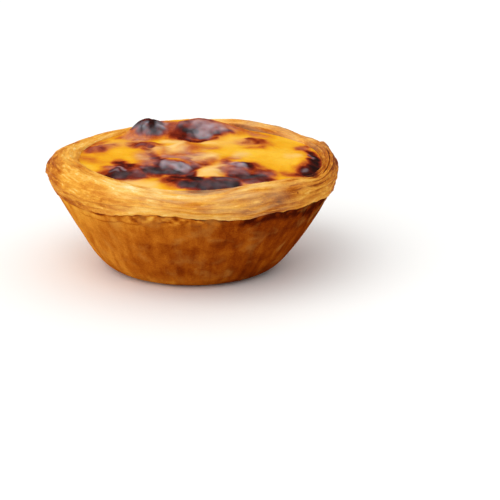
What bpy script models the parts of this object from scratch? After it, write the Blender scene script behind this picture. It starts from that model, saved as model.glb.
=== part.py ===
"""Egg tart: a cup of laminated pastry and the baked custard that fills it.

The pastry is one turned wall. Its surface runs from the middle of the base, up the flank that lay
against the tin, over the ledge where the dough left the tin, across the flaring leaves of the rim,
and down inside to the middle of the floor. The custard fills the cup to just under the rim, and its
skin has risen in blisters.

Metres, +Z up. The origin is the middle of the face that the tart stands on. The front is -Y.
"""

import math

import bmesh
import bpy
import numpy as np
from mathutils import Vector, noise

MM = 0.001

# Pastry cup, outside: radius and height of each place that shapes the wall.
BASE_FLAT_RADIUS = 20.0 * MM
BASE_CORNER = (24.0 * MM, 2.3 * MM)
FLANK_MIDDLE = (30.3 * MM, 11.8 * MM)
LEDGE = (35.7 * MM, 21.6 * MM)
WIDEST = (37.6 * MM, 25.6 * MM)
SHOULDER = (36.3 * MM, 28.1 * MM)
CREST = (33.6 * MM, 29.1 * MM)

# Pastry cup, inside: the opening where the custard meets the rim, then the wall and the floor.
OPENING = (30.8 * MM, 27.9 * MM)
INNER_WALL = (26.4 * MM, 13.5 * MM)
INNER_CORNER = (21.6 * MM, 6.2 * MM)
FLOOR_THICKNESS = 4.8 * MM
FLOOR_RADIUS = 17.5 * MM

# Hand shaping by the angle in degrees from +X: how many mm each place departs from a true turning,
# and how strongly the leaves stand apart.
RIM_REACH = {-145: -0.5, -90: -0.2, -40: 0.3, 0: -0.3, 25: 0.1, 60: -0.2, 110: -0.3, 178: -0.1}
CREST_RISE = {
    -175: 0.3, -135: 0.0, -92: -1.3, -60: 0.3, -44: 0.0, -30: -1.2, -14: -0.8, 6: 0.1, 30: -0.5,
    66: 0.8, 84: 0.1, 98: -0.9, 125: -1.1, 152: -1.4,
}
OPENING_REACH = {
    -175: -1.9, -138: -2.2, -90: 0.2, -60: 0.0, -46: 0.6, -33: 3.1, -20: 3.2, -6: 2.5, 10: 2.2,
    40: 1.6, 90: 1.2, 150: -1.2,
}
LEDGE_RISE = {
    -150: -0.5, -136: -0.7, -126: -0.1, -108: 1.9, -98: 2.0, -88: 1.2, -76: 0.4, -68: 0.2,
    -60: 0.9, -48: 0.5, -38: 0.9, -26: 0.2, 0: -1.1, 60: 0.4, 110: -0.5, 160: 0.3,
}
FLANK_REACH = {-180: 0.0, -70: 0.0, -35: 0.5, 0: 0.9, 35: 0.6, 70: 0.0}
LEAF_STRENGTH = {-150: 0.7, -100: 0.6, -50: 0.8, -10: 1.6, 30: 1.7, 80: 1.1, 180: 0.7}

# Leaves of the laminated rim: the main ones show as ridges that wander up and down the band.
LEAF_SHARES = (0.10, 0.14, 0.09, 0.15, 0.11, 0.16, 0.12, 0.13)
LEAF_RIDGE = 0.3
LEAF_DEPTH = 0.5 * MM
LEAF_DEPTH_LEAST = 0.12 * MM
LEAF_DEPTH_GRAIN = 11.0 * MM
LEAF_WANDER = 1.0 * MM
LEAF_WANDER_GRAIN = 22.0 * MM
LEDGE_ZONE = 5.0 * MM
LIP_OVERHANG = 0.35 * MM
LIP_GRAIN = 12.0 * MM

# Leaves that have torn and lifted: angle of the torn end, run in degrees (negative turns the other
# way), place on the band from the ledge (0) to the opening (1), share of the band, lift in mm.
TORN_LEAVES = (
    (27, -60, 0.36, 0.11, 0.70),
    (26, -16, 0.50, 0.08, 1.10),
    (-128, 42, 0.06, 0.08, 0.60),
    (-20, -34, 0.14, 0.09, 0.40),
    (62, 48, 0.20, 0.10, 0.60),
    (118, 50, 0.42, 0.10, 0.55),
    (-172, -40, 0.30, 0.10, 0.35),
    (-58, -38, 0.55, 0.08, 0.40),
)

# Flank: shallow lumps where the dough swelled against the tin.
FLANK_LUMP = 0.35 * MM
FLANK_LUMP_GRAIN = 9.0 * MM

# Custard: its level at the edge, how far it domes, and the unevenness of its skin.
DOME_RISE = 1.2 * MM
EDGE_ROLL = 0.15 * MM
SKIN_WAVE = 0.45 * MM
SKIN_WAVE_GRAIN = 8.0 * MM
FIT_GAP = 0.35 * MM

# Blisters of the skin, in mm and degrees: centre x and y, half length, half width, turn, rise.
BLISTERS = (
    (-3.0, 26.0, 21.0, 9.0, -2, 2.8),
    (-12.4, 21.4, 5.4, 5.2, 0, 1.9),
    (4.0, 21.6, 10.5, 6.6, -4, 0.8),
    (-15.8, -13.6, 6.4, 5.6, -15, 0.9),
    (-5.0, -10.8, 9.0, 5.2, -4, 1.2),
    (11.8, -12.4, 6.4, 5.0, 8, 1.0),
    (3.8, -16.8, 4.4, 3.8, 0, 0.8),
    (4.5, -24.2, 12.0, 4.2, 5, 0.8),
    (16.0, 15.0, 3.8, 3.6, 0, 0.7),
    (30.0, -9.0, 3.6, 10.5, 4, 0.8),
    (-24.8, 8.6, 4.6, 2.8, 12, 0.7),
    (-11.8, 8.6, 4.0, 3.6, -30, 1.0),
    (-1.0, 6.5, 6.5, 4.0, 30, 1.0),
    (-8.0, 2.5, 3.0, 5.0, 20, 0.7),
)

# How far out the round top of a blister ends and its foot lies, as shares of its half length or width.
BLISTER_TOP = 0.3
BLISTER_FOOT = 1.15

# Mesh: columns round the tart and rows across each zone of the wall.
COLUMNS = 96
BASE_ROWS = (7.0 * MM, 14.0 * MM)
CORNER_ROWS = 3
FLANK_ROWS = 8
LEAF_ROWS = (0.02, LEAF_RIDGE, 0.7)
INNER_ROWS = 6
CUSTARD_RINGS = (0.98, 0.95, 0.91, 0.86, 0.80, 0.73, 0.66, 0.59, 0.52, 0.45, 0.38, 0.30, 0.21, 0.11)

PASTRY_COLOUR = (0.62, 0.33, 0.09, 1.0)
CUSTARD_COLOUR = (0.86, 0.48, 0.05, 1.0)


def clear_scene():
    """Removes whatever the file opened with."""
    for obj in list(bpy.data.objects):
        bpy.data.objects.remove(obj)


def smooth_step(low, high, value):
    """0 below low, 1 above high, and an eased rise between them."""
    share = np.clip((value - low) / (high - low), 0.0, 1.0)
    return share * share * (3.0 - 2.0 * share)


def around(knots, angle):
    """A smooth closed curve through knots {degrees: value}, read at angle in radians."""
    degrees = np.array(sorted(knots), float)
    values = np.array([knots[d] for d in sorted(knots)], float)
    turn = np.concatenate([degrees - 360.0, degrees, degrees + 360.0])
    value = np.tile(values, 3)
    slope = np.gradient(value, turn)
    at = (np.degrees(angle) + 180.0) % 360.0 - 180.0
    i = np.searchsorted(turn, at, side="right") - 1
    width = turn[i + 1] - turn[i]
    t = (at - turn[i]) / width
    return (
        (2 * t**3 - 3 * t**2 + 1) * value[i]
        + (t**3 - 2 * t**2 + t) * width * slope[i]
        + (3 * t**2 - 2 * t**3) * value[i + 1]
        + (t**3 - t**2) * width * slope[i + 1]
    )


def rough(points, grain, seed):
    """Smooth noise, about -1 to 1, in bumps about grain across. Each seed gives another pattern."""
    shift = Vector((17.3 * seed, -9.1 * seed, 4.7 * seed))
    flat = points.reshape(-1, 3) / grain
    values = [noise.noise(Vector(p) + shift) for p in flat]
    return np.array(values).reshape(points.shape[:-1])


class Wall:
    """The turned section of the pastry wall, as a path measured by its length."""

    STEPS = 24

    def __init__(self, places):
        """places are the (radius, height) points that the path runs through, in order."""
        keys = np.array(places)
        before = 2 * keys[0] - keys[1]
        after = 2 * keys[-1] - keys[-2]
        padded = np.vstack([before, keys, after])
        line = []
        for i in range(1, len(padded) - 2):
            straight = i in (1, len(padded) - 3)
            line += self.ramp(*padded[i : i + 2]) if straight else self.curve(padded[i - 1 : i + 3])
        line.append(keys[-1])
        self.line = np.array(line)
        run = np.linalg.norm(np.diff(self.line, axis=0), axis=1)
        self.length = np.concatenate([[0.0], np.cumsum(run)])
        self.marks = self.length[:: self.STEPS]
        along = np.gradient(self.line, self.length, axis=0)
        along /= np.linalg.norm(along, axis=1)[:, None]
        self.outward = np.stack([along[:, 1], -along[:, 0]], axis=1)

    def ramp(self, start, end):
        """One straight stretch, as the flats of the base and the floor are."""
        return [start + (end - start) * step / self.STEPS for step in range(self.STEPS)]

    def curve(self, four):
        """One centripetal stretch between the middle two of four points."""
        knots = np.concatenate([[0.0], np.cumsum(np.linalg.norm(np.diff(four, axis=0), axis=1) ** 0.5)])
        made = []
        for step in range(self.STEPS):
            t = knots[1] + (knots[2] - knots[1]) * step / self.STEPS
            first = [self.between(four[i], four[i + 1], knots[i], knots[i + 1], t) for i in range(3)]
            second = [self.between(first[i], first[i + 1], knots[i], knots[i + 2], t) for i in range(2)]
            made.append(self.between(second[0], second[1], knots[1], knots[2], t))
        return made

    @staticmethod
    def between(a, b, start, end, t):
        """The point at t on the straight line that is at a at start and at b at end."""
        return a + (b - a) * (t - start) / (end - start)

    def at(self, length):
        """Radius, height and the outward direction at this length along the path."""
        return [
            np.interp(length, self.length, column)
            for column in (*self.line.T, *self.outward.T)
        ]


WALL = Wall(
    [
        (0.0, 0.0),
        (BASE_FLAT_RADIUS, 0.0),
        BASE_CORNER,
        FLANK_MIDDLE,
        LEDGE,
        WIDEST,
        SHOULDER,
        CREST,
        OPENING,
        INNER_WALL,
        INNER_CORNER,
        (FLOOR_RADIUS, FLOOR_THICKNESS),
        (0.0, FLOOR_THICKNESS),
    ]
)
FLAT_END, CORNER_END, _, LEDGE_AT, WIDEST_AT, _, CREST_AT, OPENING_AT = WALL.marks[1:9]
BAND = OPENING_AT - LEDGE_AT
LEAF_EDGES = np.concatenate([[0.0], np.cumsum(LEAF_SHARES)])


def on_ring(angle, height):
    """Points on a ring as wide as the rim, for noise that has no seam round the tart."""
    angle, height = np.broadcast_arrays(angle, height)
    return np.stack([np.cos(angle) * WIDEST[0], np.sin(angle) * WIDEST[0], height], -1)


def on_band(length):
    """0 at the ledge, 1 at the opening, and beyond those off the band."""
    return (length - LEDGE_AT) / BAND


def band_window(length):
    """1 over the middle of the band, easing to 0 at its two edges, so that the leaves stay on it."""
    place = np.clip(on_band(length), 0.0, 1.0)
    return np.sqrt(np.sin(math.pi * place))


def wandered(length, angle):
    """The length moved up or down the wall, as the ledge and the leaves wander round the tart."""
    near_ledge = np.exp(-(((length - LEDGE_AT) / LEDGE_ZONE) ** 2))
    return (
        length
        + around(LEDGE_RISE, angle) * MM * near_ledge
        + LEAF_WANDER * rough(on_ring(angle, length * 0.6), LEAF_WANDER_GRAIN, 3) * band_window(length)
    )


def leaf_ridges(length, angle):
    """Relief of the main leaves: each rises fast from its groove and slopes off to the next."""
    place = on_band(length)
    within = np.interp(place, LEAF_EDGES, np.arange(len(LEAF_EDGES))) % 1.0
    ridge = np.where(within < LEAF_RIDGE, within / LEAF_RIDGE, (1.0 - within) / (1.0 - LEAF_RIDGE))
    uneven = 0.8 + 0.8 * rough(on_ring(angle, length), LEAF_DEPTH_GRAIN, 5)
    depth = np.maximum(LEAF_DEPTH * around(LEAF_STRENGTH, angle) * uneven, LEAF_DEPTH_LEAST)
    inside = (place >= 0.0) & (place <= 1.0)
    return np.where(inside, (ridge - 0.5) * depth, 0.0)


def torn_leaves(length, angle):
    """Relief of the lifted leaves: highest at the torn end, and lying down again along the run."""
    place = on_band(length)
    lift = np.zeros(np.broadcast(length, angle).shape)
    for start, run, middle, share, rise in TORN_LEAVES:
        turned = (np.degrees(angle) - start) * np.sign(run) % 360.0
        end = np.clip(turned / 3.0, 0.0, 1.0)
        along = np.where(turned < abs(run), (1.0 - turned / abs(run)) * end, 0.0)
        across = np.clip(1.0 - np.abs(place - middle) / share, 0.0, 1.0)
        lift = lift + rise * MM * along * smooth_step(0.0, 0.6, across)
    return lift


def lip(length, angle):
    """Relief of the ledge, where the rim hangs over the flank by an uneven amount."""
    overhang = LIP_OVERHANG * (0.8 + 0.6 * rough(on_ring(angle, 0.0), LIP_GRAIN, 9))
    above = smooth_step(-0.2 * MM, 0.5 * MM, length - LEDGE_AT)
    fade = 1.0 - smooth_step(0.0, 0.45, on_band(length))
    return overhang * above * fade


def flank_lumps(length, points):
    """Relief of the flank, easing to nothing at the base corner and inside the cup."""
    share = smooth_step(FLAT_END, CORNER_END + 4.0 * MM, length)
    share = share * (1.0 - smooth_step(CREST_AT, OPENING_AT, length))
    return FLANK_LUMP * rough(points, FLANK_LUMP_GRAIN, 1) * share


def wall_grid(lengths, angles, inset=0.0):
    """Points of the wall's surface, one row for each length. inset moves them into the cup's hollow."""
    length, angle = np.meshgrid(lengths, angles, indexing="ij")
    radius, height, out_r, out_z = WALL.at(wandered(length, angle))
    rim = smooth_step(14.0 * MM, WIDEST[1], height)
    flank = smooth_step(BASE_CORNER[1], FLANK_MIDDLE[1], height)
    flank = flank * (1.0 - smooth_step(LEDGE[1], WIDEST[1], height))
    inside = smooth_step(WIDEST_AT, OPENING_AT, length)
    to_opening = inside * smooth_step(FLOOR_THICKNESS, OPENING[1], height)
    radius = radius + MM * around(FLANK_REACH, angle) * flank * (1.0 - inside)
    radius = radius + MM * around(RIM_REACH, angle) * rim * (1.0 - inside)
    radius = radius + MM * around(OPENING_REACH, angle) * to_opening
    crest = smooth_step(LEDGE_AT, CREST_AT, length) - smooth_step(CREST_AT, OPENING_AT, length)
    height = height + MM * around(CREST_RISE, angle) * crest
    points = np.stack([radius * np.cos(angle), radius * np.sin(angle), height], -1)
    relief = leaf_ridges(length, angle) + torn_leaves(length, angle) + lip(length, angle)
    relief = relief + flank_lumps(length, points) + inset
    radius = radius + out_r * relief
    height = height + out_z * relief
    return np.stack([radius * np.cos(angle), radius * np.sin(angle), height], -1)


def skin_height(points):
    """Height of the custard's skin over each (x, y), from its level at the opening."""
    across = np.hypot(points[..., 0], points[..., 1])
    angle = np.arctan2(points[..., 1], points[..., 0])
    edge = OPENING[0] + MM * around(OPENING_REACH, angle) - FIT_GAP
    share = np.clip(across / edge, 0.0, 1.0)
    height = OPENING[1] - EDGE_ROLL * smooth_step(0.86, 1.0, share)
    height = height + DOME_RISE * (1.0 - share**2)
    flat = points.copy()
    flat[..., 2] = 0.0
    calm = 1.0 - smooth_step(0.8, 1.0, share)
    height = height + SKIN_WAVE * rough(flat, SKIN_WAVE_GRAIN, 21) * calm
    for x, y, half_length, half_width, turn, rise in BLISTERS:
        c, s = math.cos(math.radians(turn)), math.sin(math.radians(turn))
        dx, dy = points[..., 0] / MM - x, points[..., 1] / MM - y
        reach = np.hypot((c * dx + s * dy) / half_length, (c * dy - s * dx) / half_width)
        mound = 1.0 - smooth_step(BLISTER_TOP, BLISTER_FOOT, reach)
        height = height + rise * MM * mound * (1.0 - smooth_step(0.92, 1.01, share))
    return height


def closed_mesh(name, rows, first, last):
    """A closed mesh of rings, one for each row of points, with a point at each end to close it."""
    made = bmesh.new()
    rings = [[made.verts.new(p) for p in row] for row in rows]
    start = made.verts.new(first)
    end = made.verts.new(last)
    count = len(rings[0])
    for i in range(count):
        j = (i + 1) % count
        made.faces.new((start, rings[0][j], rings[0][i]))
        made.faces.new((end, rings[-1][i], rings[-1][j]))
    for low, high in zip(rings, rings[1:]):
        for i in range(count):
            j = (i + 1) % count
            made.faces.new((low[i], low[j], high[j], high[i]))
    bmesh.ops.triangulate(made, faces=made.faces[:])
    bmesh.ops.recalc_face_normals(made, faces=made.faces[:])
    mesh = bpy.data.meshes.new(name)
    made.to_mesh(mesh)
    made.free()
    mesh.shade_smooth()
    return mesh


def finish(colour, roughness, name):
    """A plain material of this colour."""
    material = bpy.data.materials.new(name)
    material.use_nodes = True
    shader = material.node_tree.nodes["Principled BSDF"]
    shader.inputs["Base Color"].default_value = colour
    shader.inputs["Roughness"].default_value = roughness
    shader.inputs["Metallic"].default_value = 0.0
    return material


def add_object(name, mesh, material):
    """Links the mesh into the scene as the node of this name."""
    mesh.materials.append(material)
    obj = bpy.data.objects.new(name, mesh)
    bpy.context.scene.collection.objects.link(obj)
    return obj


def pastry_rows():
    """Lengths along the wall of the pastry's rows, close together where the leaves are."""
    corner = np.linspace(FLAT_END, CORNER_END, CORNER_ROWS)
    flank = np.linspace(CORNER_END, LEDGE_AT - 0.3 * MM, FLANK_ROWS)[1:]
    band = [
        LEDGE_AT + BAND * (edge + share * row)
        for edge, share in zip(LEAF_EDGES, LEAF_SHARES)
        for row in LEAF_ROWS
    ]
    inner = np.linspace(OPENING_AT, WALL.marks[-2], INNER_ROWS)
    return np.concatenate([BASE_ROWS, corner, flank, band, inner])


def inner_rows():
    """Lengths along the wall where the custard lies against it, from the opening to the floor."""
    return np.linspace(OPENING_AT, WALL.marks[-2], INNER_ROWS)


def make_pastry(angles):
    """The pastry cup."""
    rows = wall_grid(pastry_rows(), angles)
    mesh = closed_mesh("pastry_shell", rows, (0, 0, 0), (0, 0, FLOOR_THICKNESS))
    return add_object("pastry_shell", mesh, finish(PASTRY_COLOUR, 0.55, "baked_pastry"))


def make_custard(angles):
    """The custard, with the same columns as the pastry so that the gap between them is even."""
    side = wall_grid(inner_rows(), angles, inset=FIT_GAP)
    edge = side[0]
    rings = [edge * share for share in CUSTARD_RINGS]
    top = np.array(rings)
    top[..., 2] = skin_height(top)
    edge[..., 2] = skin_height(edge)
    middle = np.array([[0.0, 0.0, 0.0]])
    middle[..., 2] = skin_height(middle)
    rows = np.concatenate([side[::-1], top])
    bottom = (0, 0, FLOOR_THICKNESS + FIT_GAP)
    mesh = closed_mesh("custard", rows, bottom, middle[0])
    return add_object("custard", mesh, finish(CUSTARD_COLOUR, 0.3, "baked_custard"))


def main():
    clear_scene()
    angles = np.linspace(-math.pi, math.pi, COLUMNS, endpoint=False)
    make_pastry(angles)
    make_custard(angles)


main()
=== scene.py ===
import math

import bpy
import numpy as np
from mathutils import Matrix, Vector, noise


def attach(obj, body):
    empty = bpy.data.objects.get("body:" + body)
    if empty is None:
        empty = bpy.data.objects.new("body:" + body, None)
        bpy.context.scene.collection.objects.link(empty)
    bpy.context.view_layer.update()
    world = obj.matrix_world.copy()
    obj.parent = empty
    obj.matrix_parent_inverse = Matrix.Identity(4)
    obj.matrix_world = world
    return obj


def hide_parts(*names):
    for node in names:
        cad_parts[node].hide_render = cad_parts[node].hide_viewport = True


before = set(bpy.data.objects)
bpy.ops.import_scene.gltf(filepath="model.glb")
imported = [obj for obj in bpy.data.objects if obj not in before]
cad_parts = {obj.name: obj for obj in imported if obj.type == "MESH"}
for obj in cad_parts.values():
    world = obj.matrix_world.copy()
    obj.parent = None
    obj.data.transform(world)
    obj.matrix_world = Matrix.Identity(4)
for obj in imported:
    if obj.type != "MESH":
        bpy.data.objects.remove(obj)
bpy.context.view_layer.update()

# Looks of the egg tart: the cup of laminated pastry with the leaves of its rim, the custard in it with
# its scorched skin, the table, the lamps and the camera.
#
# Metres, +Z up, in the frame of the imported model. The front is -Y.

MM = 0.001
BODY = "root"

# Pastry cup, outside: radius and height of each place that shapes the wall.
BASE_FLAT_RADIUS = 20.0 * MM
BASE_CORNER = (24.0 * MM, 2.3 * MM)
FLANK_MIDDLE = (30.3 * MM, 11.8 * MM)
LEDGE = (35.7 * MM, 21.6 * MM)
WIDEST = (37.6 * MM, 25.6 * MM)
SHOULDER = (36.3 * MM, 28.1 * MM)
CREST = (33.6 * MM, 29.1 * MM)

# Pastry cup, inside: the opening where the custard meets the rim, then the wall and the floor.
OPENING = (30.8 * MM, 27.9 * MM)
INNER_WALL = (26.4 * MM, 13.5 * MM)
INNER_CORNER = (21.6 * MM, 6.2 * MM)
FLOOR_THICKNESS = 4.8 * MM
FLOOR_RADIUS = 17.5 * MM

# Hand shaping by the angle in degrees from +X: how many mm each place departs from a true turning,
# and how strongly the leaves stand apart. RIM_REACH takes effect from RIM_REACH_FROM upwards.
RIM_REACH_FROM = 14.0 * MM
RIM_REACH = {-145: -0.5, -90: -0.2, -40: 0.3, 0: -0.3, 25: 0.1, 60: -0.2, 110: -0.3, 178: -0.1}
CREST_RISE = {
    -175: 0.3, -135: 0.0, -92: -1.3, -60: 0.3, -44: 0.0, -30: -1.2, -14: -0.8, 6: 0.1, 30: -0.5,
    66: 0.8, 84: 0.1, 98: -0.9, 125: -1.1, 152: -1.4,
}
OPENING_REACH = {
    -175: -1.9, -138: -2.2, -90: 0.2, -60: 0.0, -46: 0.6, -33: 3.1, -20: 3.2, -6: 2.5, 10: 2.2,
    40: 1.6, 90: 1.2, 150: -1.2,
}
LEDGE_RISE = {
    -150: -0.5, -136: -0.7, -126: -0.1, -108: 1.9, -98: 2.0, -88: 1.2, -76: 0.4, -68: 0.2,
    -60: 0.9, -48: 0.5, -38: 0.9, -26: 0.2, 0: -1.1, 60: 0.4, 110: -0.5, 160: 0.3,
}
FLANK_REACH = {-180: 0.0, -70: 0.0, -35: 0.5, 0: 0.9, 35: 0.6, 70: 0.0}
LEAF_STRENGTH = {-150: 0.7, -100: 0.6, -50: 0.8, -10: 1.6, 30: 1.7, 80: 1.1, 180: 0.7}

# Leaves of the laminated rim: the main ones show as ridges that wander up and down the band. Each takes
# its share of the band and stands highest LEAF_RIDGE of the way across. LEDGE_ZONE is how far along the
# wall the ledge's rise is felt, and LIP_OVERHANG is how far the rim hangs over the flank.
LEAF_SHARES = (0.10, 0.14, 0.09, 0.15, 0.11, 0.16, 0.12, 0.13)
LEAF_RIDGE = 0.3
LEAF_DEPTH = 0.5 * MM
LEAF_DEPTH_LEAST = 0.12 * MM
LEAF_DEPTH_GRAIN = 11.0 * MM
LEAF_WANDER = 1.0 * MM
LEAF_WANDER_GRAIN = 22.0 * MM
LEDGE_ZONE = 5.0 * MM
LIP_OVERHANG = 0.35 * MM
LIP_GRAIN = 12.0 * MM

# Thin leaves between the main ones: thickness, how far across it the edge stands highest, step height
# and how long a leaf runs.
THIN_LEAF = 0.8 * MM
THIN_LEAF_EDGE = 0.22
THIN_LEAF_STEP = 0.10 * MM
THIN_LEAF_RUN = 13.0 * MM

# Slivers of dry leaf that stand up a little: how far, and how long they are.
SLIVER_RISE = 0.10 * MM
SLIVER_RUN = 3.6 * MM

# How far the lowest leaf's edge is tattered, how fine the tatters are and how far up and down the wall
# they reach. Then the leaf that shows under it at the front left: how far down its edge is, its step,
# and where it shows.
LEDGE_TATTER = 0.45 * MM
LEDGE_TATTER_GRAIN = 1.9 * MM
LEDGE_TATTER_ZONE = 1.2 * MM
UNDER_LEAF_FALL = 2.3 * MM
UNDER_LEAF_STEP = 0.28 * MM
UNDER_LEAF = {-180: 0.0, -150: 0.3, -132: 1.0, -112: 0.9, -96: 0.3, -80: 0.0, 0: 0.0, 90: 0.2, 150: 0.2}

# Leaves that have torn and lifted: angle of the torn end, run in degrees (negative turns the other
# way), place on the band from the ledge (0) to the opening (1), share of the band, lift in mm. The torn
# end rises over TORN_END degrees.
TORN_END = 3.0
TORN_LEAVES = (
    (27, -60, 0.36, 0.11, 0.70),
    (26, -16, 0.50, 0.08, 1.10),
    (-128, 42, 0.06, 0.08, 0.60),
    (-20, -34, 0.14, 0.09, 0.40),
    (62, 48, 0.20, 0.10, 0.60),
    (118, 50, 0.42, 0.10, 0.55),
    (-172, -40, 0.30, 0.10, 0.35),
    (-58, -38, 0.55, 0.08, 0.40),
)

# Flank: shallow lumps where the dough swelled against the tin, flutes down the wall, fine grit, and
# bubbles under the ledge, with how strongly the skin has bubbled by the angle.
FLANK_LUMP = 0.35 * MM
FLANK_LUMP_GRAIN = 9.0 * MM
FLUTE_DEPTH = 0.03 * MM
FLUTE_WIDTH = 1.6 * MM
GRIT_RISE = 0.04 * MM
GRIT_GRAIN = 0.6 * MM
BUBBLE_RISE = 0.26 * MM
BUBBLING = {-180: 0.3, -120: 0.6, -108: 1.5, -92: 1.4, -78: 0.5, -30: 0.8, 90: 0.5}

# Underside: the strip of dough was coiled before it was pressed into the tin, and the coil shows.
BASE_COIL = 1.5 * MM
BASE_COIL_DEPTH = 0.12 * MM

# Custard: how far it domes, how far its edge rolls down, the waves of its skin, the gap between the two
# solids, and how far it has soaked into the pastry.
DOME_RISE = 1.2 * MM
EDGE_ROLL = 0.15 * MM
SKIN_WAVE = 0.45 * MM
SKIN_WAVE_GRAIN = 8.0 * MM
FIT_GAP = 0.35 * MM
SOAKED_IN = 0.25 * MM

# Relief of the skin that is too fine for the solid: its pucker, the small blisters where it has burnt,
# and its creases.
PUCKER_RISE = 0.19 * MM
SMALL_BLISTER_RISE = 0.20 * MM
CREASE_DEPTH = 0.16 * MM

# Blisters of the skin, in mm and degrees: centre x and y, half length, half width, turn, rise.
BLISTERS = (
    (-3.0, 26.0, 21.0, 9.0, -2, 2.8),
    (-12.4, 21.4, 5.4, 5.2, 0, 1.9),
    (4.0, 21.6, 10.5, 6.6, -4, 0.8),
    (-15.8, -13.6, 6.4, 5.6, -15, 0.9),
    (-5.0, -10.8, 9.0, 5.2, -4, 1.2),
    (11.8, -12.4, 6.4, 5.0, 8, 1.0),
    (3.8, -16.8, 4.4, 3.8, 0, 0.8),
    (4.5, -24.2, 12.0, 4.2, 5, 0.8),
    (16.0, 15.0, 3.8, 3.6, 0, 0.7),
    (30.0, -9.0, 3.6, 10.5, 4, 0.8),
    (-24.8, 8.6, 4.6, 2.8, 12, 0.7),
    (-11.8, 8.6, 4.0, 3.6, -30, 1.0),
    (-1.0, 6.5, 6.5, 4.0, 30, 1.0),
    (-8.0, 2.5, 3.0, 5.0, 20, 0.7),
)

# How far out the round top of a blister ends and its foot lies, as shares of its half length or width.
BLISTER_TOP = 0.3
BLISTER_FOOT = 1.15

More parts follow.
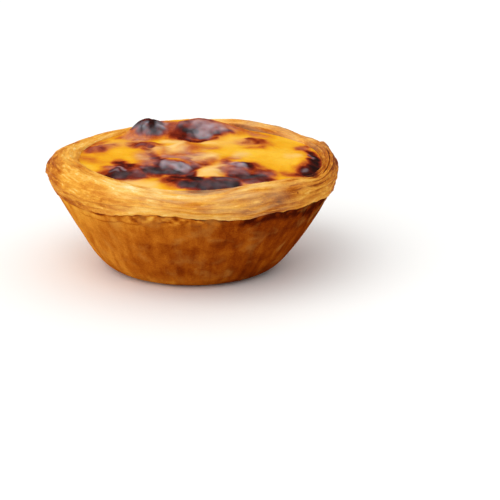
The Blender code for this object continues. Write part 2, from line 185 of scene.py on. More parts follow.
# Scorched strokes of the skin, in mm: from x, y, to x, y, half width, softness of the edge, and how
# far it has burnt, where 1 is black.
SCORCHES = (
    # The black blister at the back left, and the skin to both sides of it.
    (-15.7, 22.4, -13.4, 22.6, 0.9, 0.6, 0.95),
    (-13.9, 22.0, -8.6, 22.1, 1.5, 0.6, 0.72),
    (-13.1, 19.4, -9.2, 19.9, 1.5, 0.6, 0.74),
    (-12.0, 22.2, -9.9, 22.0, 0.7, 0.4, 1.00),
    (-10.7, 21.4, -10.4, 19.2, 1.0, 0.5, 1.00),
    (-11.5, 21.3, -11.2, 19.7, 0.5, 0.4, 1.00),
    (-13.3, 20.5, -12.8, 19.3, 0.7, 0.4, 0.96),
    (-9.2, 18.5, -7.6, 20.4, 0.4, 0.4, 0.95),
    (-12.2, 17.9, -9.3, 18.1, 0.3, 0.4, 0.80),
    (-18.0, 19.6, -14.4, 18.8, 1.8, 1.6, 0.28),
    (-16.3, 18.4, -13.3, 16.8, 1.4, 1.6, 0.28),
    (-12.2, 16.7, -9.6, 16.7, 1.0, 1.4, 0.34),
    (-6.4, 22.9, -5.1, 19.7, 2.2, 1.6, 0.34),
    # Its far side, and the far side of the swell beside it.
    (-14.0, 24.2, -9.4, 24.5, 1.3, 0.8, 0.88),
    (-12.6, 26.0, -9.2, 26.3, 1.0, 1.2, 0.52),
    (-0.6, 23.4, 4.6, 23.6, 1.3, 1.4, 0.50),
    # The swell behind the middle.
    (-3.2, 20.7, -2.1, 16.7, 1.0, 0.9, 0.68),
    (-4.8, 18.7, -2.9, 18.1, 1.3, 0.9, 0.62),
    (-2.9, 20.0, -0.5, 19.3, 0.6, 0.5, 0.76),
    (-1.9, 19.2, 1.1, 18.5, 0.7, 0.4, 1.00),
    (0.0, 18.7, 1.4, 18.1, 0.4, 0.4, 1.00),
    (-2.1, 17.4, 2.1, 17.1, 0.9, 0.7, 0.76),
    (-2.4, 21.7, -0.5, 20.2, 1.4, 1.2, 0.50),
    (-1.6, 22.8, 0.3, 22.1, 0.6, 0.6, 0.64),
    (0.0, 20.9, 4.6, 20.2, 2.0, 1.0, 0.62),
    (1.6, 18.7, 4.3, 17.7, 1.6, 0.8, 0.66),
    (2.1, 16.5, 4.3, 16.3, 0.3, 0.3, 0.97),
    (-3.2, 16.7, -0.5, 14.6, 0.5, 0.6, 0.84),
    (-0.5, 14.6, 3.5, 14.9, 0.4, 0.6, 0.74),
    (3.5, 15.6, 6.4, 16.0, 0.4, 0.6, 0.62),
    (4.3, 17.0, 7.2, 18.3, 0.7, 0.6, 0.84),
    (7.2, 18.3, 10.2, 20.6, 0.7, 0.8, 0.68),
    (4.6, 19.8, 7.0, 20.3, 1.6, 1.2, 0.52),
    (7.0, 21.7, 12.6, 24.4, 1.8, 1.8, 0.32),
    (13.4, 27.4, 17.6, 25.4, 0.8, 1.0, 0.36),
    # The spot at the back right.
    (15.4, 15.3, 16.9, 12.4, 0.8, 0.9, 0.62),
    (15.6, 13.4, 18.6, 14.1, 0.9, 1.0, 0.48),
    (13.8, 12.2, 19.0, 12.1, 1.3, 1.4, 0.36),
    (15.0, 8.1, 18.1, 8.3, 0.7, 1.2, 0.30),
    (15.7, 23.9, 18.8, 21.8, 1.4, 1.6, 0.28),
    # The crescent against the rim at the right, and the line that runs to it.
    (30.6, 5.9, 31.7, 2.2, 0.7, 0.6, 0.86),
    (31.7, 2.2, 32.5, -2.5, 0.6, 0.5, 1.00),
    (31.0, 2.7, 31.1, -3.9, 0.5, 0.6, 0.62),
    (31.7, -2.1, 31.5, -9.7, 1.2, 0.8, 0.98),
    (31.0, -10.4, 29.2, -15.3, 1.5, 0.8, 0.96),
    (28.3, -12.8, 28.7, -14.9, 1.2, 0.8, 0.80),
    (26.4, -16.1, 29.4, -16.5, 0.6, 0.8, 0.56),
    (22.9, -15.7, 26.4, -16.1, 0.5, 1.0, 0.38),
    (27.9, -10.6, 29.5, -8.3, 0.9, 1.2, 0.34),
    (28.5, 8.4, 30.2, 11.4, 0.8, 0.9, 0.36),
    (29.7, 8.9, 30.6, 5.9, 0.7, 0.8, 0.46),
    # The streak at the left and the spot with its tail behind the middle.
    (-27.6, 10.3, -25.4, 7.9, 1.4, 1.2, 0.52),
    (-26.5, 14.3, -24.1, 15.0, 0.8, 1.2, 0.38),
    (-25.8, 6.8, -24.0, 7.1, 1.3, 1.2, 0.50),
    (-24.0, 7.5, -21.0, 9.9, 1.2, 1.6, 0.34),
    (-27.1, 5.8, -24.2, 4.7, 1.0, 1.4, 0.22),
    (-28.6, 0.6, -22.6, -6.8, 0.6, 1.4, 0.22),
    (-27.1, 17.4, -24.6, 19.5, 0.6, 1.6, 0.30),
    (-15.6, 12.6, -14.1, 6.8, 1.0, 1.0, 0.48),
    (-14.4, 8.4, -10.4, 5.5, 0.9, 0.8, 0.62),
    (-12.5, 5.2, -10.6, 2.9, 0.8, 1.0, 0.50),
    (-11.0, 7.1, -8.9, 7.5, 0.8, 1.2, 0.42),
    (-15.4, 16.4, -12.2, 15.6, 0.6, 0.8, 0.40),
    (-10.8, 1.4, -9.2, -4.0, 0.9, 1.0, 0.46),
    (-9.7, -3.8, -7.5, -13.5, 1.2, 1.0, 0.62),
    (-8.8, -12.3, -7.0, -14.2, 0.9, 0.8, 0.76),
    (-12.1, -0.2, -10.6, -12.5, 1.8, 1.6, 0.32),
    (-8.0, 4.6, -6.9, -0.9, 1.0, 1.6, 0.27),
    # Toasted creases of the swollen middle.
    (-1.6, 7.2, 2.1, 5.9, 0.6, 1.2, 0.26),
    (0.0, 3.9, 5.2, 6.1, 0.7, 1.2, 0.32),
    (-1.5, 1.9, 1.3, -2.5, 1.8, 1.6, 0.30),
    (-6.2, -1.5, -2.6, 0.4, 1.0, 1.4, 0.32),
    (1.0, -6.0, 5.1, -6.4, 0.6, 1.2, 0.28),
    # The patch at the front left.
    (-19.0, -6.4, -17.4, -8.4, 0.8, 0.9, 0.58),
    (-18.1, -7.1, -15.1, -13.1, 0.7, 0.7, 0.80),
    (-18.5, -10.0, -16.0, -14.6, 1.0, 0.8, 0.70),
    (-15.1, -13.1, -12.0, -15.3, 0.7, 0.8, 0.56),
    (-20.0, -15.1, -17.7, -16.7, 0.9, 0.6, 0.97),
    (-18.8, -14.0, -17.0, -16.4, 0.6, 0.5, 0.92),
    (-17.0, -15.9, -13.5, -16.5, 0.9, 0.8, 0.56),
    (-20.0, -17.1, -17.4, -17.6, 1.7, 0.9, 0.86),
    (-17.6, -17.4, -13.2, -18.4, 1.7, 0.9, 0.70),
    (-19.4, -18.8, -13.4, -19.9, 0.8, 0.8, 0.54),
    (-22.1, -14.1, -20.2, -16.4, 1.0, 1.2, 0.48),
    (-21.5, -10.5, -19.6, -12.4, 1.0, 1.0, 0.42),
    (-13.5, -16.9, -12.0, -18.2, 1.2, 1.0, 0.48),
    # The mound in the middle: its dark front, its top, and the tail that climbs to its right.
    (-11.3, -14.5, -6.8, -14.5, 0.7, 0.6, 0.86),
    (-6.8, -14.5, -3.5, -15.7, 0.7, 0.5, 0.92),
    (-11.0, -15.9, -4.7, -16.1, 1.5, 0.7, 0.88),
    (-10.5, -17.4, -8.0, -18.1, 0.6, 0.8, 0.66),
    (-4.5, -16.1, -0.5, -17.8, 0.9, 0.7, 0.84),
    (-1.0, -16.0, 1.0, -13.4, 1.0, 0.9, 0.66),
    (1.0, -13.4, 3.3, -9.4, 0.8, 0.9, 0.46),
    (3.3, -8.5, 5.1, -5.7, 1.1, 1.4, 0.38),
    (-6.8, -12.1, -5.0, -13.6, 1.4, 0.8, 0.62),
    (-5.0, -12.7, -1.2, -14.4, 1.6, 0.8, 0.66),
    (-1.0, -8.8, 1.0, -12.2, 1.2, 1.2, 0.36),
    (-6.7, -3.3, -1.5, -4.5, 1.6, 1.2, 0.36),
    # The crescent at the front, from left to right.
    (-6.4, -21.3, -4.2, -25.4, 1.2, 1.2, 0.42),
    (-5.0, -21.8, -3.2, -24.6, 1.1, 0.9, 0.62),
    (-4.0, -19.9, -0.5, -22.3, 1.2, 0.8, 0.78),
    (-1.8, -26.0, 1.0, -27.5, 1.7, 0.9, 0.84),
    (-0.5, -20.0, 1.7, -24.7, 1.2, 0.7, 1.00),
    (0.3, -26.6, 2.7, -27.9, 1.3, 0.7, 0.98),
    (1.7, -25.4, 4.9, -26.0, 1.0, 0.8, 0.80),
    (3.0, -27.2, 9.8, -26.0, 2.2, 0.9, 0.90),
    (6.2, -23.6, 10.9, -22.8, 1.3, 0.9, 0.78),
    (2.9, -28.7, 6.1, -28.5, 0.6, 0.8, 0.66),
    (10.0, -19.2, 12.7, -19.5, 1.3, 0.9, 0.68),
    (12.5, -18.8, 17.5, -18.4, 1.9, 0.9, 0.82),
    (11.4, -23.3, 14.9, -20.7, 1.1, 0.9, 0.60),
    (14.0, -22.4, 18.2, -20.6, 1.7, 1.0, 0.66),
    (10.0, -16.9, 13.3, -16.8, 1.2, 0.9, 0.58),
    (16.1, -15.2, 19.1, -15.1, 1.2, 1.0, 0.52),
    (17.5, -17.6, 19.3, -16.6, 1.2, 1.2, 0.42),
    # The mound at the right of the middle.
    (8.4, -7.2, 10.1, -14.0, 1.1, 1.0, 0.46),
    (7.1, -13.7, 9.8, -17.6, 1.4, 1.2, 0.40),
    (10.4, -11.8, 12.3, -14.1, 1.6, 1.0, 0.58),
    (13.6, -10.8, 14.8, -14.0, 1.2, 0.8, 0.76),
    (15.2, -9.8, 16.7, -12.6, 0.9, 1.2, 0.36),
    (8.7, -5.6, 11.3, -4.0, 0.8, 1.0, 0.27),
)

# A stroke fades OUTWARD_FADE times as far outwards as inwards, and it is softer by the share
# FRONT_SOFTNESS at the edges that face the front and the back. Round the scorched places a toasted halo
# reaches SCORCH_HALO in mm, and then come how far the halo and the merely toasted patches have burnt.
OUTWARD_FADE = 1.9
FRONT_SOFTNESS = 0.7
SCORCH_HALO = 2.2
HALO_SCORCH = 0.21
TOASTED_SCORCH = 0.11

# Strokes of painted sheen, where the glassy burnt sugar is painted a pale grey over the black and pinkish
# over the brown, as if it reflected the pale room, and pale ones, where the skin is paler and has painted
# highlights on its mounds, in the same terms.
PAINTED_SHEEN_STROKES = (
    (-15.5, 22.1, -14.1, 20.1, 0.8, 0.6, 0.50),
    (-13.9, 22.0, -12.6, 21.5, 0.3, 0.3, 0.70),
    (-12.3, 21.1, -12.0, 19.5, 0.5, 0.3, 0.75),
    (-12.0, 19.1, -12.5, 18.4, 0.7, 0.4, 0.65),
    (-11.4, 18.3, -9.3, 18.9, 0.6, 0.5, 0.60),
    (-8.7, 21.4, -7.7, 21.0, 0.8, 0.5, 0.85),
    (-7.2, 24.2, -7.7, 20.5, 0.8, 0.8, 0.50),
    (-17.4, 19.8, -14.6, 19.2, 0.8, 0.8, 0.40),
    (-16.2, 18.1, -13.3, 16.8, 0.9, 1.0, 0.46),
    (-6.4, 23.0, -4.8, 21.6, 1.0, 1.0, 0.16),
    (-0.8, 17.6, 1.6, 17.1, 0.5, 0.5, 0.24),
    (-2.4, 21.7, -0.5, 20.6, 0.8, 0.8, 0.30),
    (0.4, 21.4, 4.6, 21.4, 1.1, 0.8, 0.80),
    (2.2, 18.9, 4.3, 17.9, 1.5, 0.5, 0.85),
    (4.3, 20.6, 7.2, 21.4, 1.5, 0.8, 0.82),
    (3.4, 18.3, 6.4, 19.4, 1.0, 0.5, 0.80),
    (5.3, 17.7, 7.8, 19.3, 0.3, 0.4, 0.25),
    (7.4, 22.0, 10.6, 23.0, 0.9, 1.0, 0.34),
    (16.1, 22.6, 18.6, 21.4, 0.8, 1.0, 0.20),
    (30.7, 2.7, 30.9, -1.2, 0.2, 0.4, 0.35),
    (28.3, -13.9, 28.9, -13.8, 0.2, 0.4, 0.60),
    (28.2, 9.2, 30.1, 10.2, 0.5, 0.8, 0.16),
    (-26.1, 7.6, -24.0, 7.1, 0.8, 1.0, 0.14),
    (-24.1, 8.4, -21.5, 9.4, 0.7, 1.0, 0.18),
    (-14.9, 16.2, -13.0, 14.8, 0.4, 0.4, 0.60),
    (-14.1, 7.3, -10.9, 5.7, 0.5, 0.6, 0.20),
    (-12.1, -0.6, -10.8, -11.8, 1.2, 1.2, 0.26),
    (-12.3, -14.2, -11.0, -14.5, 0.4, 0.5, 0.30),
    (-1.2, 2.0, 1.1, -1.2, 1.2, 1.2, 0.34),
    (-6.2, -2.6, -2.0, -3.6, 1.2, 1.2, 0.52),
    (-2.2, -5.8, 1.4, -6.6, 0.9, 1.2, 0.42),
    (-1.0, -8.8, 0.8, -11.7, 0.8, 1.0, 0.34),
    (-18.3, -13.4, -16.8, -15.4, 0.2, 0.3, 0.60),
    (-20.1, -14.5, -19.0, -15.2, 0.3, 0.3, 0.40),
    (-21.0, -10.9, -19.6, -12.4, 0.5, 0.7, 0.25),
    (-18.5, -17.7, -13.5, -18.2, 0.5, 0.9, 0.16),
    (-13.7, -16.9, -12.2, -17.7, 0.6, 0.7, 0.28),
    (-6.8, -12.3, -5.0, -13.2, 1.0, 0.6, 0.90),
    (-5.3, -12.9, -1.4, -14.3, 1.0, 0.6, 0.90),
    (-10.5, -15.8, -5.5, -15.7, 0.5, 0.7, 0.22),
    (-5.0, -16.2, -1.2, -17.4, 0.5, 0.7, 0.22),
    (-2.7, -26.7, 0.5, -27.4, 0.5, 0.8, 0.20),
    (3.2, -26.8, 9.4, -26.1, 0.9, 1.2, 0.20),
    (6.9, -23.9, 10.9, -22.6, 0.8, 0.9, 0.24),
    (13.0, -19.5, 17.0, -19.2, 0.5, 0.9, 0.14),
    (10.3, -16.9, 13.3, -16.8, 0.5, 0.7, 0.26),
    (10.4, -10.1, 12.4, -13.3, 1.0, 0.7, 0.85),
    (10.0, -14.8, 12.6, -15.8, 0.8, 0.9, 0.44),
    (13.4, -24.8, 16.4, -23.2, 0.7, 0.9, 0.30),
    (17.4, -17.4, 19.4, -16.8, 0.7, 0.9, 0.26),
    (7.8, -8.9, 9.3, -14.6, 0.8, 0.9, 0.34),
    (7.3, -14.8, 9.5, -17.0, 0.8, 0.9, 0.18),
    (11.6, -3.8, 13.2, -0.4, 0.9, 1.0, 0.20),
)
# Pale places: paler skin, partly with painted highlights on its mounds.
PALE_SKIN_AND_HIGHLIGHTS = (
    (2.6, -19.4, 5.2, -19.6, 0.9, 1.0, 0.75),
    (3.9, -17.6, 6.2, -16.0, 1.2, 1.1, 0.95),
    (5.0, -12.6, 6.3, -12.2, 0.9, 0.9, 0.85),
    (-6.6, 11.9, -3.2, 12.8, 1.1, 1.0, 0.85),
    (-5.8, 5.0, -3.2, 7.2, 0.9, 0.9, 1.00),
    (-5.9, 3.0, -2.9, 3.4, 0.9, 1.0, 0.80),
    (-10.4, 3.1, -8.8, 3.0, 0.8, 0.9, 0.60),
    (2.3, 12.0, 5.2, 11.3, 0.9, 1.0, 0.65),
    (1.0, -3.4, 4.6, -2.4, 1.3, 1.2, 0.90),
    (11.2, -2.0, 13.0, 0.6, 0.7, 0.9, 0.60),
    (25.3, -0.3, 27.0, 0.4, 0.7, 0.9, 0.60),
    (-13.6, -1.3, -11.2, -4.7, 0.9, 1.2, 0.50),
    (-15.8, -23.1, -10.3, -25.5, 1.2, 1.2, 0.70),
    (6.9, 11.2, 12.7, 13.9, 2.0, 2.0, 0.30),
    (3.1, 3.7, 4.7, 6.1, 0.6, 1.0, 0.20),
    (-20.5, 11.6, -15.3, 12.5, 1.6, 2.0, 0.25),
)

# Browning by the angle, where 0 is cream and 1 is dark brown. Of the flank: as a whole, where its darker
# right side is partly real browning and partly painted shade of the side turned from the key lamp, how
# much browner it is high up and at its foot, and how much darker just under the ledge, which is painted
# shade of the overhanging rim, paler where the value is negative.
FLANK_BROWNING_AND_SHADE = {-180: 0.56, -140: 0.59, -110: 0.72, -80: 0.78, -45: 0.82, -10: 0.82, 60: 0.72, 120: 0.62}
UPPER_FLANK_BROWNING = {
    -180: 0.0, -155: 0.0, -143: -0.06, -125: -0.05, -110: -0.07, -92: -0.08, -80: -0.03, -70: 0.0, 60: 0.0,
    120: 0.0,
}
FOOT_BROWNING = {-180: 0.04, -145: 0.04, -125: -0.08, -105: -0.13, -85: -0.10, -60: 0.0, 60: 0.0, 120: 0.04}
LEDGE_SHADE = {
    -180: -0.1, -145: -0.7, -125: -0.7, -108: -0.8, -92: -0.8, -80: 0.2, -72: 0.8, -45: 0.9, -20: 1.3,
    0: 1.5, 120: 0.6,
}

# Of the rim: as a whole, and how much browner its outer edge and its lowest leaf are.
RIM_BROWNING = {
    -180: 0.46, -140: 0.46, -100: 0.44, -60: 0.48, -26: 0.53, -12: 0.58, 0: 0.62, 14: 0.60, 30: 0.55,
    44: 0.52, 66: 0.54, 90: 0.47, 140: 0.44,
}
EDGE_BROWNING = {
    -180: 0.16, -145: 0.06, -100: 0.0, -72: 0.05, -58: 0.17, -42: 0.03, -20: 0.06, 5: 0.24, 20: 0.24,
    60: 0.12, 150: 0.20,
}
LOW_LEAF_BROWNING = {
    -180: 0.06, -128: 0.0, -112: -0.22, -100: -0.20, -90: -0.14, -80: 0.02, -70: 0.05, -40: -0.02, 0: 0.02,
    60: 0.07,
}

# The pale stripe along the crest: how cream it is, and its place on the band from the ledge (0) to the
# opening (1). Then how scorched the lip is above the custard, and how much darker the slope inside it is.
CREST_CREAM = {
    -180: 0.20, -160: 0.12, -142: 0.12, -125: 0.24, -112: 0.17, -103: 0.14, -92: 0.18, -82: 0.08, -73: -0.06,
    -62: 0.28, -55: 0.16, -47: -0.06, -38: 0.04, -25: 0.04, 0: 0.03, 11: 0.0, 20: 0.14, 32: 0.12, 52: 0.24,
    68: 0.24, 100: 0.10, 140: 0.05,
}
CREAM_PLACE = {-180: 0.84, -150: 0.76, -130: 0.72, -90: 0.68, -60: 0.70, -30: 0.80, 30: 0.86, 150: 0.86}
LIP_SCORCH = {
    -180: 0.04, -165: 0.09, -150: 0.08, -130: 0.0, -110: 0.0, -100: 0.0, -90: 0.22, -74: 0.26, -64: 0.0,
    -55: 0.0, -47: 0.0, -39: 0.0, -31: 0.40, -23: 0.0, -15: 0.0, 60: 0.0, 160: 0.0,
}
INNER_DARKENING = {-180: 0.0, 34: 0.0, 46: 0.0, 58: 0.30, 72: 0.36, 86: 0.10, 98: 0.0, 110: 0.0}

# How much darker the cracks are, with painted shade in them: under the ledge, under the second leaf,
# between the main leaves and between the thin ones. Then how much browner the second leaf is, how much
# darker the flank is where LEDGE_SHADE is 1, with painted shade under the ledge, and how much paler the
# bubbles and the slivers are. The first two cracks come and go along each CRACK_RUN.
LEDGE_CRACK = 0.34
UNDER_LEAF_CRACK = 0.26
LEAF_CRACK = 0.29
THIN_LEAF_CRACK = 0.19
CRACK_RUN = 4.0 * MM
SECOND_LEAF = 0.06
LEDGE_SHADOW = 0.17
BUBBLE_PALENESS = 0.22
SLIVER_PALENESS = 0.10

# Heights between which the upper flank begins and the foot ends.
UPPER_FLANK = (13.0 * MM, 17.0 * MM)
FOOT = (1.0 * MM, 5.0 * MM)

# Places on the band: where the looks of the flank give way to the rim's, the middle and the width of
# the outer edge and of the lowest leaf, the width of the pale stripe, and between which places the lip,
# the faint cracks inside it and the slope inside it begin.
RIM_BEGINS = (-0.03, 0.06)
OUTER_EDGE = (0.30, 0.22)
LOW_LEAF = (0.10, 0.13)
CREAM_WIDTH = 0.13
LIP_BEGINS = (0.70, 0.80)
FAINT_CRACKS = (0.74, 0.86)
INNER_BEGINS = (0.86, 0.95)

# How much painted sheen, a pale haze of reflected light, shows on the rim, by the angle.
PAINTED_HAZE = {
    -180: 0.0, -130: 0.02, -105: 0.18, -85: 0.20, -62: 0.20, -45: 0.06, 0: 0.03, 30: 0.16, 60: 0.20,
    120: 0.0,
}

# Fineness of the meshes: columns round the tart, and rows across each zone of the wall. The first row
# is a small ring round the middle of the base. The rows are close over UNDER_LEDGE, for the bubbles, and
# the last of them lies CREASE below the ledge. SKIN_REACH brings the skin's rings in from its edge.
PASTRY_COLUMNS = 600
FIRST_RING = 1.0 * MM
BASE_ROWS = 12
CORNER_ROWS = 9
FLANK_ROWS = 20
UNDER_LEDGE = 6.0 * MM
UNDER_LEDGE_ROWS = 30
CREASE = 0.12 * MM
BAND_ROWS = 80
INNER_ROWS = 6
CUSTARD_COLUMNS = 480
SKIN_RINGS = 140
SKIN_REACH = 0.98

# Camera: how many degrees above the table it looks from, how far off it is, where it aims, its lens in
# mm, the width of its sensor in mm, where the point that it aims at falls in the square picture, as
# shares of its width, and how near to it things are still seen.
CAMERA_RISE = 16.7
CAMERA_DISTANCE = 0.520
CAMERA_AIM = (0.0, 0.0, 0.016)
CAMERA_LENS = 143.8
SENSOR_WIDTH = 36.0
AIM_IN_PICTURE = (0.384, 0.404)
NEAREST_SEEN = 0.01

# Table and light: half the table's width, and each lamp's side, how many degrees of the sky it fills and
# how strong it is, then how strong the light of the pale room is.
TABLE_REACH = 3.0
KEY_LAMP = ((-0.55, -0.50, 0.70), 75.0, 1.45)
TOP_LAMP = ((0.10, 0.15, 1.00), 100.0, 0.8)
ROOM_LIGHT = 0.6


def smooth_step(low, high, value):
    """0 below low, 1 above high, and an eased rise between them."""
    share = np.clip((value - low) / (high - low), 0.0, 1.0)
    return share * share * (3.0 - 2.0 * share)


def near(middle, width, value):
    """1 at the middle, easing to almost nothing at twice the width from it."""
    return np.exp(-(((value - middle) / width) ** 2))


def around(knots, angle):
    """A smooth closed curve through knots {degrees: value}, read at angle in radians."""
    degrees = np.array(sorted(knots), float)
    values = np.array([knots[d] for d in sorted(knots)], float)
    turn = np.concatenate([degrees - 360.0, degrees, degrees + 360.0])
    value = np.tile(values, 3)
    slope = np.gradient(value, turn)
    at = (np.degrees(angle) + 180.0) % 360.0 - 180.0
    i = np.searchsorted(turn, at, side="right") - 1
    width = turn[i + 1] - turn[i]
    t = (at - turn[i]) / width
    return (
        (2 * t**3 - 3 * t**2 + 1) * value[i]
        + (t**3 - 2 * t**2 + t) * width * slope[i]
        + (3 * t**2 - 2 * t**3) * value[i + 1]
        + (t**3 - t**2) * width * slope[i + 1]
    )


def rough(points, grain, seed):
    """Smooth noise, about -1 to 1, in bumps about grain across. Each seed gives another pattern."""
    shift = Vector((17.3 * seed, -9.1 * seed, 4.7 * seed))
    flat = (points.reshape(-1, 3) / grain).tolist()
    values = [noise.noise(Vector(p) + shift) for p in flat]
    return np.array(values).reshape(points.shape[:-1])


def mottled(points, *layers):
    """Layers of smooth noise, each given as how strong it is, its grain and its seed."""
    return sum(strength * rough(points, grain, seed) for strength, grain, seed in layers)


def flattened(points):
    """The points with no height, for noise that lies on the skin and doesn't change as it rises."""
    flat = points.copy()
    flat[..., 2] = 0.0
    return flat


class Wall:
    """The turned section of the pastry wall, as a path measured by its length."""

    STEPS = 24

    def __init__(self, places):
        """places are the (radius, height) points that the path runs through, in order."""
        keys = np.array(places)
        before = 2 * keys[0] - keys[1]
        after = 2 * keys[-1] - keys[-2]
        padded = np.vstack([before, keys, after])
        line = []
        for i in range(1, len(padded) - 2):
            straight = i in (1, len(padded) - 3)
            line += self.ramp(*padded[i : i + 2]) if straight else self.curve(padded[i - 1 : i + 3])
        line.append(keys[-1])
        self.line = np.array(line)
        run = np.linalg.norm(np.diff(self.line, axis=0), axis=1)
        self.length = np.concatenate([[0.0], np.cumsum(run)])
        self.marks = self.length[:: self.STEPS]
        along = np.gradient(self.line, self.length, axis=0)
        along /= np.linalg.norm(along, axis=1)[:, None]
        self.outward = np.stack([along[:, 1], -along[:, 0]], axis=1)

    def ramp(self, start, end):
        """One straight stretch, as the flats of the base and the floor are."""
        return [start + (end - start) * step / self.STEPS for step in range(self.STEPS)]

    def curve(self, four):
        """One centripetal stretch between the middle two of four points."""
        knots = np.concatenate([[0.0], np.cumsum(np.linalg.norm(np.diff(four, axis=0), axis=1) ** 0.5)])
        made = []
        for step in range(self.STEPS):
            t = knots[1] + (knots[2] - knots[1]) * step / self.STEPS
            first = [self.between(four[i], four[i + 1], knots[i], knots[i + 1], t) for i in range(3)]
            second = [self.between(first[i], first[i + 1], knots[i], knots[i + 2], t) for i in range(2)]
            made.append(self.between(second[0], second[1], knots[1], knots[2], t))
        return made

    @staticmethod
    def between(a, b, start, end, t):
        """The point at t on the straight line that is at a at start and at b at end."""
        return a + (b - a) * (t - start) / (end - start)

    def at(self, length):
        """Radius, height and the outward direction at this length along the path."""
        return [
            np.interp(length, self.length, column)
            for column in (*self.line.T, *self.outward.T)
        ]


WALL = Wall(
    [
        (0.0, 0.0),
        (BASE_FLAT_RADIUS, 0.0),
        BASE_CORNER,
        FLANK_MIDDLE,
        LEDGE,
        WIDEST,
        SHOULDER,
        CREST,
        OPENING,
        INNER_WALL,
        INNER_CORNER,
        (FLOOR_RADIUS, FLOOR_THICKNESS),
        (0.0, FLOOR_THICKNESS),
    ]
)
FLAT_END, CORNER_END, _, LEDGE_AT, WIDEST_AT, _, CREST_AT, OPENING_AT = WALL.marks[1:9]
FLOOR_END = WALL.marks[-2]
BAND = OPENING_AT - LEDGE_AT
LEAF_EDGES = np.concatenate([[0.0], np.cumsum(LEAF_SHARES)])


def on_ring(angle, height):
    """Points on a ring as wide as the rim, for noise that has no seam round the tart."""
    angle, height = np.broadcast_arrays(angle, height)
    return np.stack([np.cos(angle) * WIDEST[0], np.sin(angle) * WIDEST[0], height], -1)


def on_band(length):
    """0 at the ledge, 1 at the opening, and beyond those off the band."""
    return (length - LEDGE_AT) / BAND


def band_window(length):
    """1 over the middle of the band, easing to 0 at its two edges, so that the leaves stay on it."""
    place = np.clip(on_band(length), 0.0, 1.0)
    return np.sqrt(np.sin(math.pi * place))


def wandered(length, angle):
    """The length moved up or down the wall, as the ledge and the leaves wander round the tart."""
    return (
        length
        + around(LEDGE_RISE, angle) * MM * near(LEDGE_AT, LEDGE_ZONE, length)
        + LEAF_WANDER * rough(on_ring(angle, length * 0.6), LEAF_WANDER_GRAIN, 3) * band_window(length)
    )


def within_leaf(place):
    """How far across its main leaf a place on the band lies, from 0 at its groove to 1 at the next."""
    return np.interp(place, LEAF_EDGES, np.arange(len(LEAF_EDGES))) % 1.0


def leaf_ridges(length, angle):
    """Relief of the main leaves: each rises fast from its groove and slopes off to the next."""
    place = on_band(length)
    within = within_leaf(place)
    ridge = np.where(within < LEAF_RIDGE, within / LEAF_RIDGE, (1.0 - within) / (1.0 - LEAF_RIDGE))
    uneven = 0.8 + 0.8 * rough(on_ring(angle, length), LEAF_DEPTH_GRAIN, 5)
    depth = np.maximum(LEAF_DEPTH * around(LEAF_STRENGTH, angle) * uneven, LEAF_DEPTH_LEAST)
    inside = (place >= 0.0) & (place <= 1.0)
    return np.where(inside, (ridge - 0.5) * depth, 0.0)


def thin_leaves(length, angle):
    """Relief of the thin leaves, from 0 in a crack to 1 on an edge: they run, merge and end."""
    drift = 2.4 * rough(on_ring(angle, length * 2.5), THIN_LEAF_RUN, 11)
    drift = drift + 0.5 * rough(on_ring(angle, length * 4.0), THIN_LEAF_RUN / 3, 12)
    within = (length / THIN_LEAF + drift) % 1.0
    return np.where(within < THIN_LEAF_EDGE, within / THIN_LEAF_EDGE, (1.0 - within) / (1.0 - THIN_LEAF_EDGE))


def flakiness(length, angle):
    """How far the thin leaves have opened, from 0 where they lie as one smooth face."""
    patchy = rough(on_ring(angle, length * 4.0), 8.0 * MM, 41)
    return smooth_step(-0.25, 0.35, patchy + 0.16 * (around(LEAF_STRENGTH, angle) - 0.8))


def slivers(length, angle):
    """1 on the short slivers of dry leaf that stand up from the rim."""
    return smooth_step(0.22, 0.42, rough(on_ring(angle, length * 9.0), SLIVER_RUN, 47))


def above_under_leaf(length, angle):
    """How far above the ragged edge of the leaf under the ledge this length lies."""
    ragged = mottled(on_ring(angle, 0.0), (0.6, 3.0 * MM, 16), (0.7, 9.0 * MM, 17))
    return length - LEDGE_AT + UNDER_LEAF_FALL + ragged * MM


def under_leaf(length, angle):
    """1 on the leaf under the ledge and 0 below its edge."""
    return smooth_step(-0.12 * MM, 0.12 * MM, above_under_leaf(length, angle))


def torn_leaves(length, angle):
    """Relief of the lifted leaves: highest at the torn end, and lying down again along the run."""
    place = on_band(length)
    lift = np.zeros(np.broadcast(length, angle).shape)
    for start, run, middle, share, rise in TORN_LEAVES:
        turned = (np.degrees(angle) - start) * np.sign(run) % 360.0
        end = np.clip(turned / TORN_END, 0.0, 1.0)
        along = np.where(turned < abs(run), (1.0 - turned / abs(run)) * end, 0.0)
        across = np.clip(1.0 - np.abs(place - middle) / share, 0.0, 1.0)
        lift = lift + rise * MM * along * smooth_step(0.0, 0.6, across)
    return lift


def lip(length, angle):
    """Relief of the ledge, where the rim hangs over the flank by an uneven amount."""
    overhang = LIP_OVERHANG * (0.8 + 0.6 * rough(on_ring(angle, 0.0), LIP_GRAIN, 9))
    above = smooth_step(-0.2 * MM, 0.5 * MM, length - LEDGE_AT)
    fade = 1.0 - smooth_step(0.0, 0.45, on_band(length))
    return overhang * above * fade


def flank_share(length):
    """1 on the flank and the rim's outside, easing to 0 at the base and inside the cup."""
    share = smooth_step(FLAT_END, CORNER_END + 4.0 * MM, length)
    return share * (1.0 - smooth_step(CREST_AT, OPENING_AT, length))


def under_ledge(length, angle):
    """1 just under the ledge, where the skin of the flank has bubbled, to 0 about 4 mm further down."""
    below = LEDGE_AT - length
    reach = 4.2 * MM + 1.6 * MM * rough(on_ring(angle, 0.0), 7.0 * MM, 31)
    return smooth_step(-0.1 * MM, 0.5 * MM, below) * (1.0 - smooth_step(0.3, 1.0, below / reach))


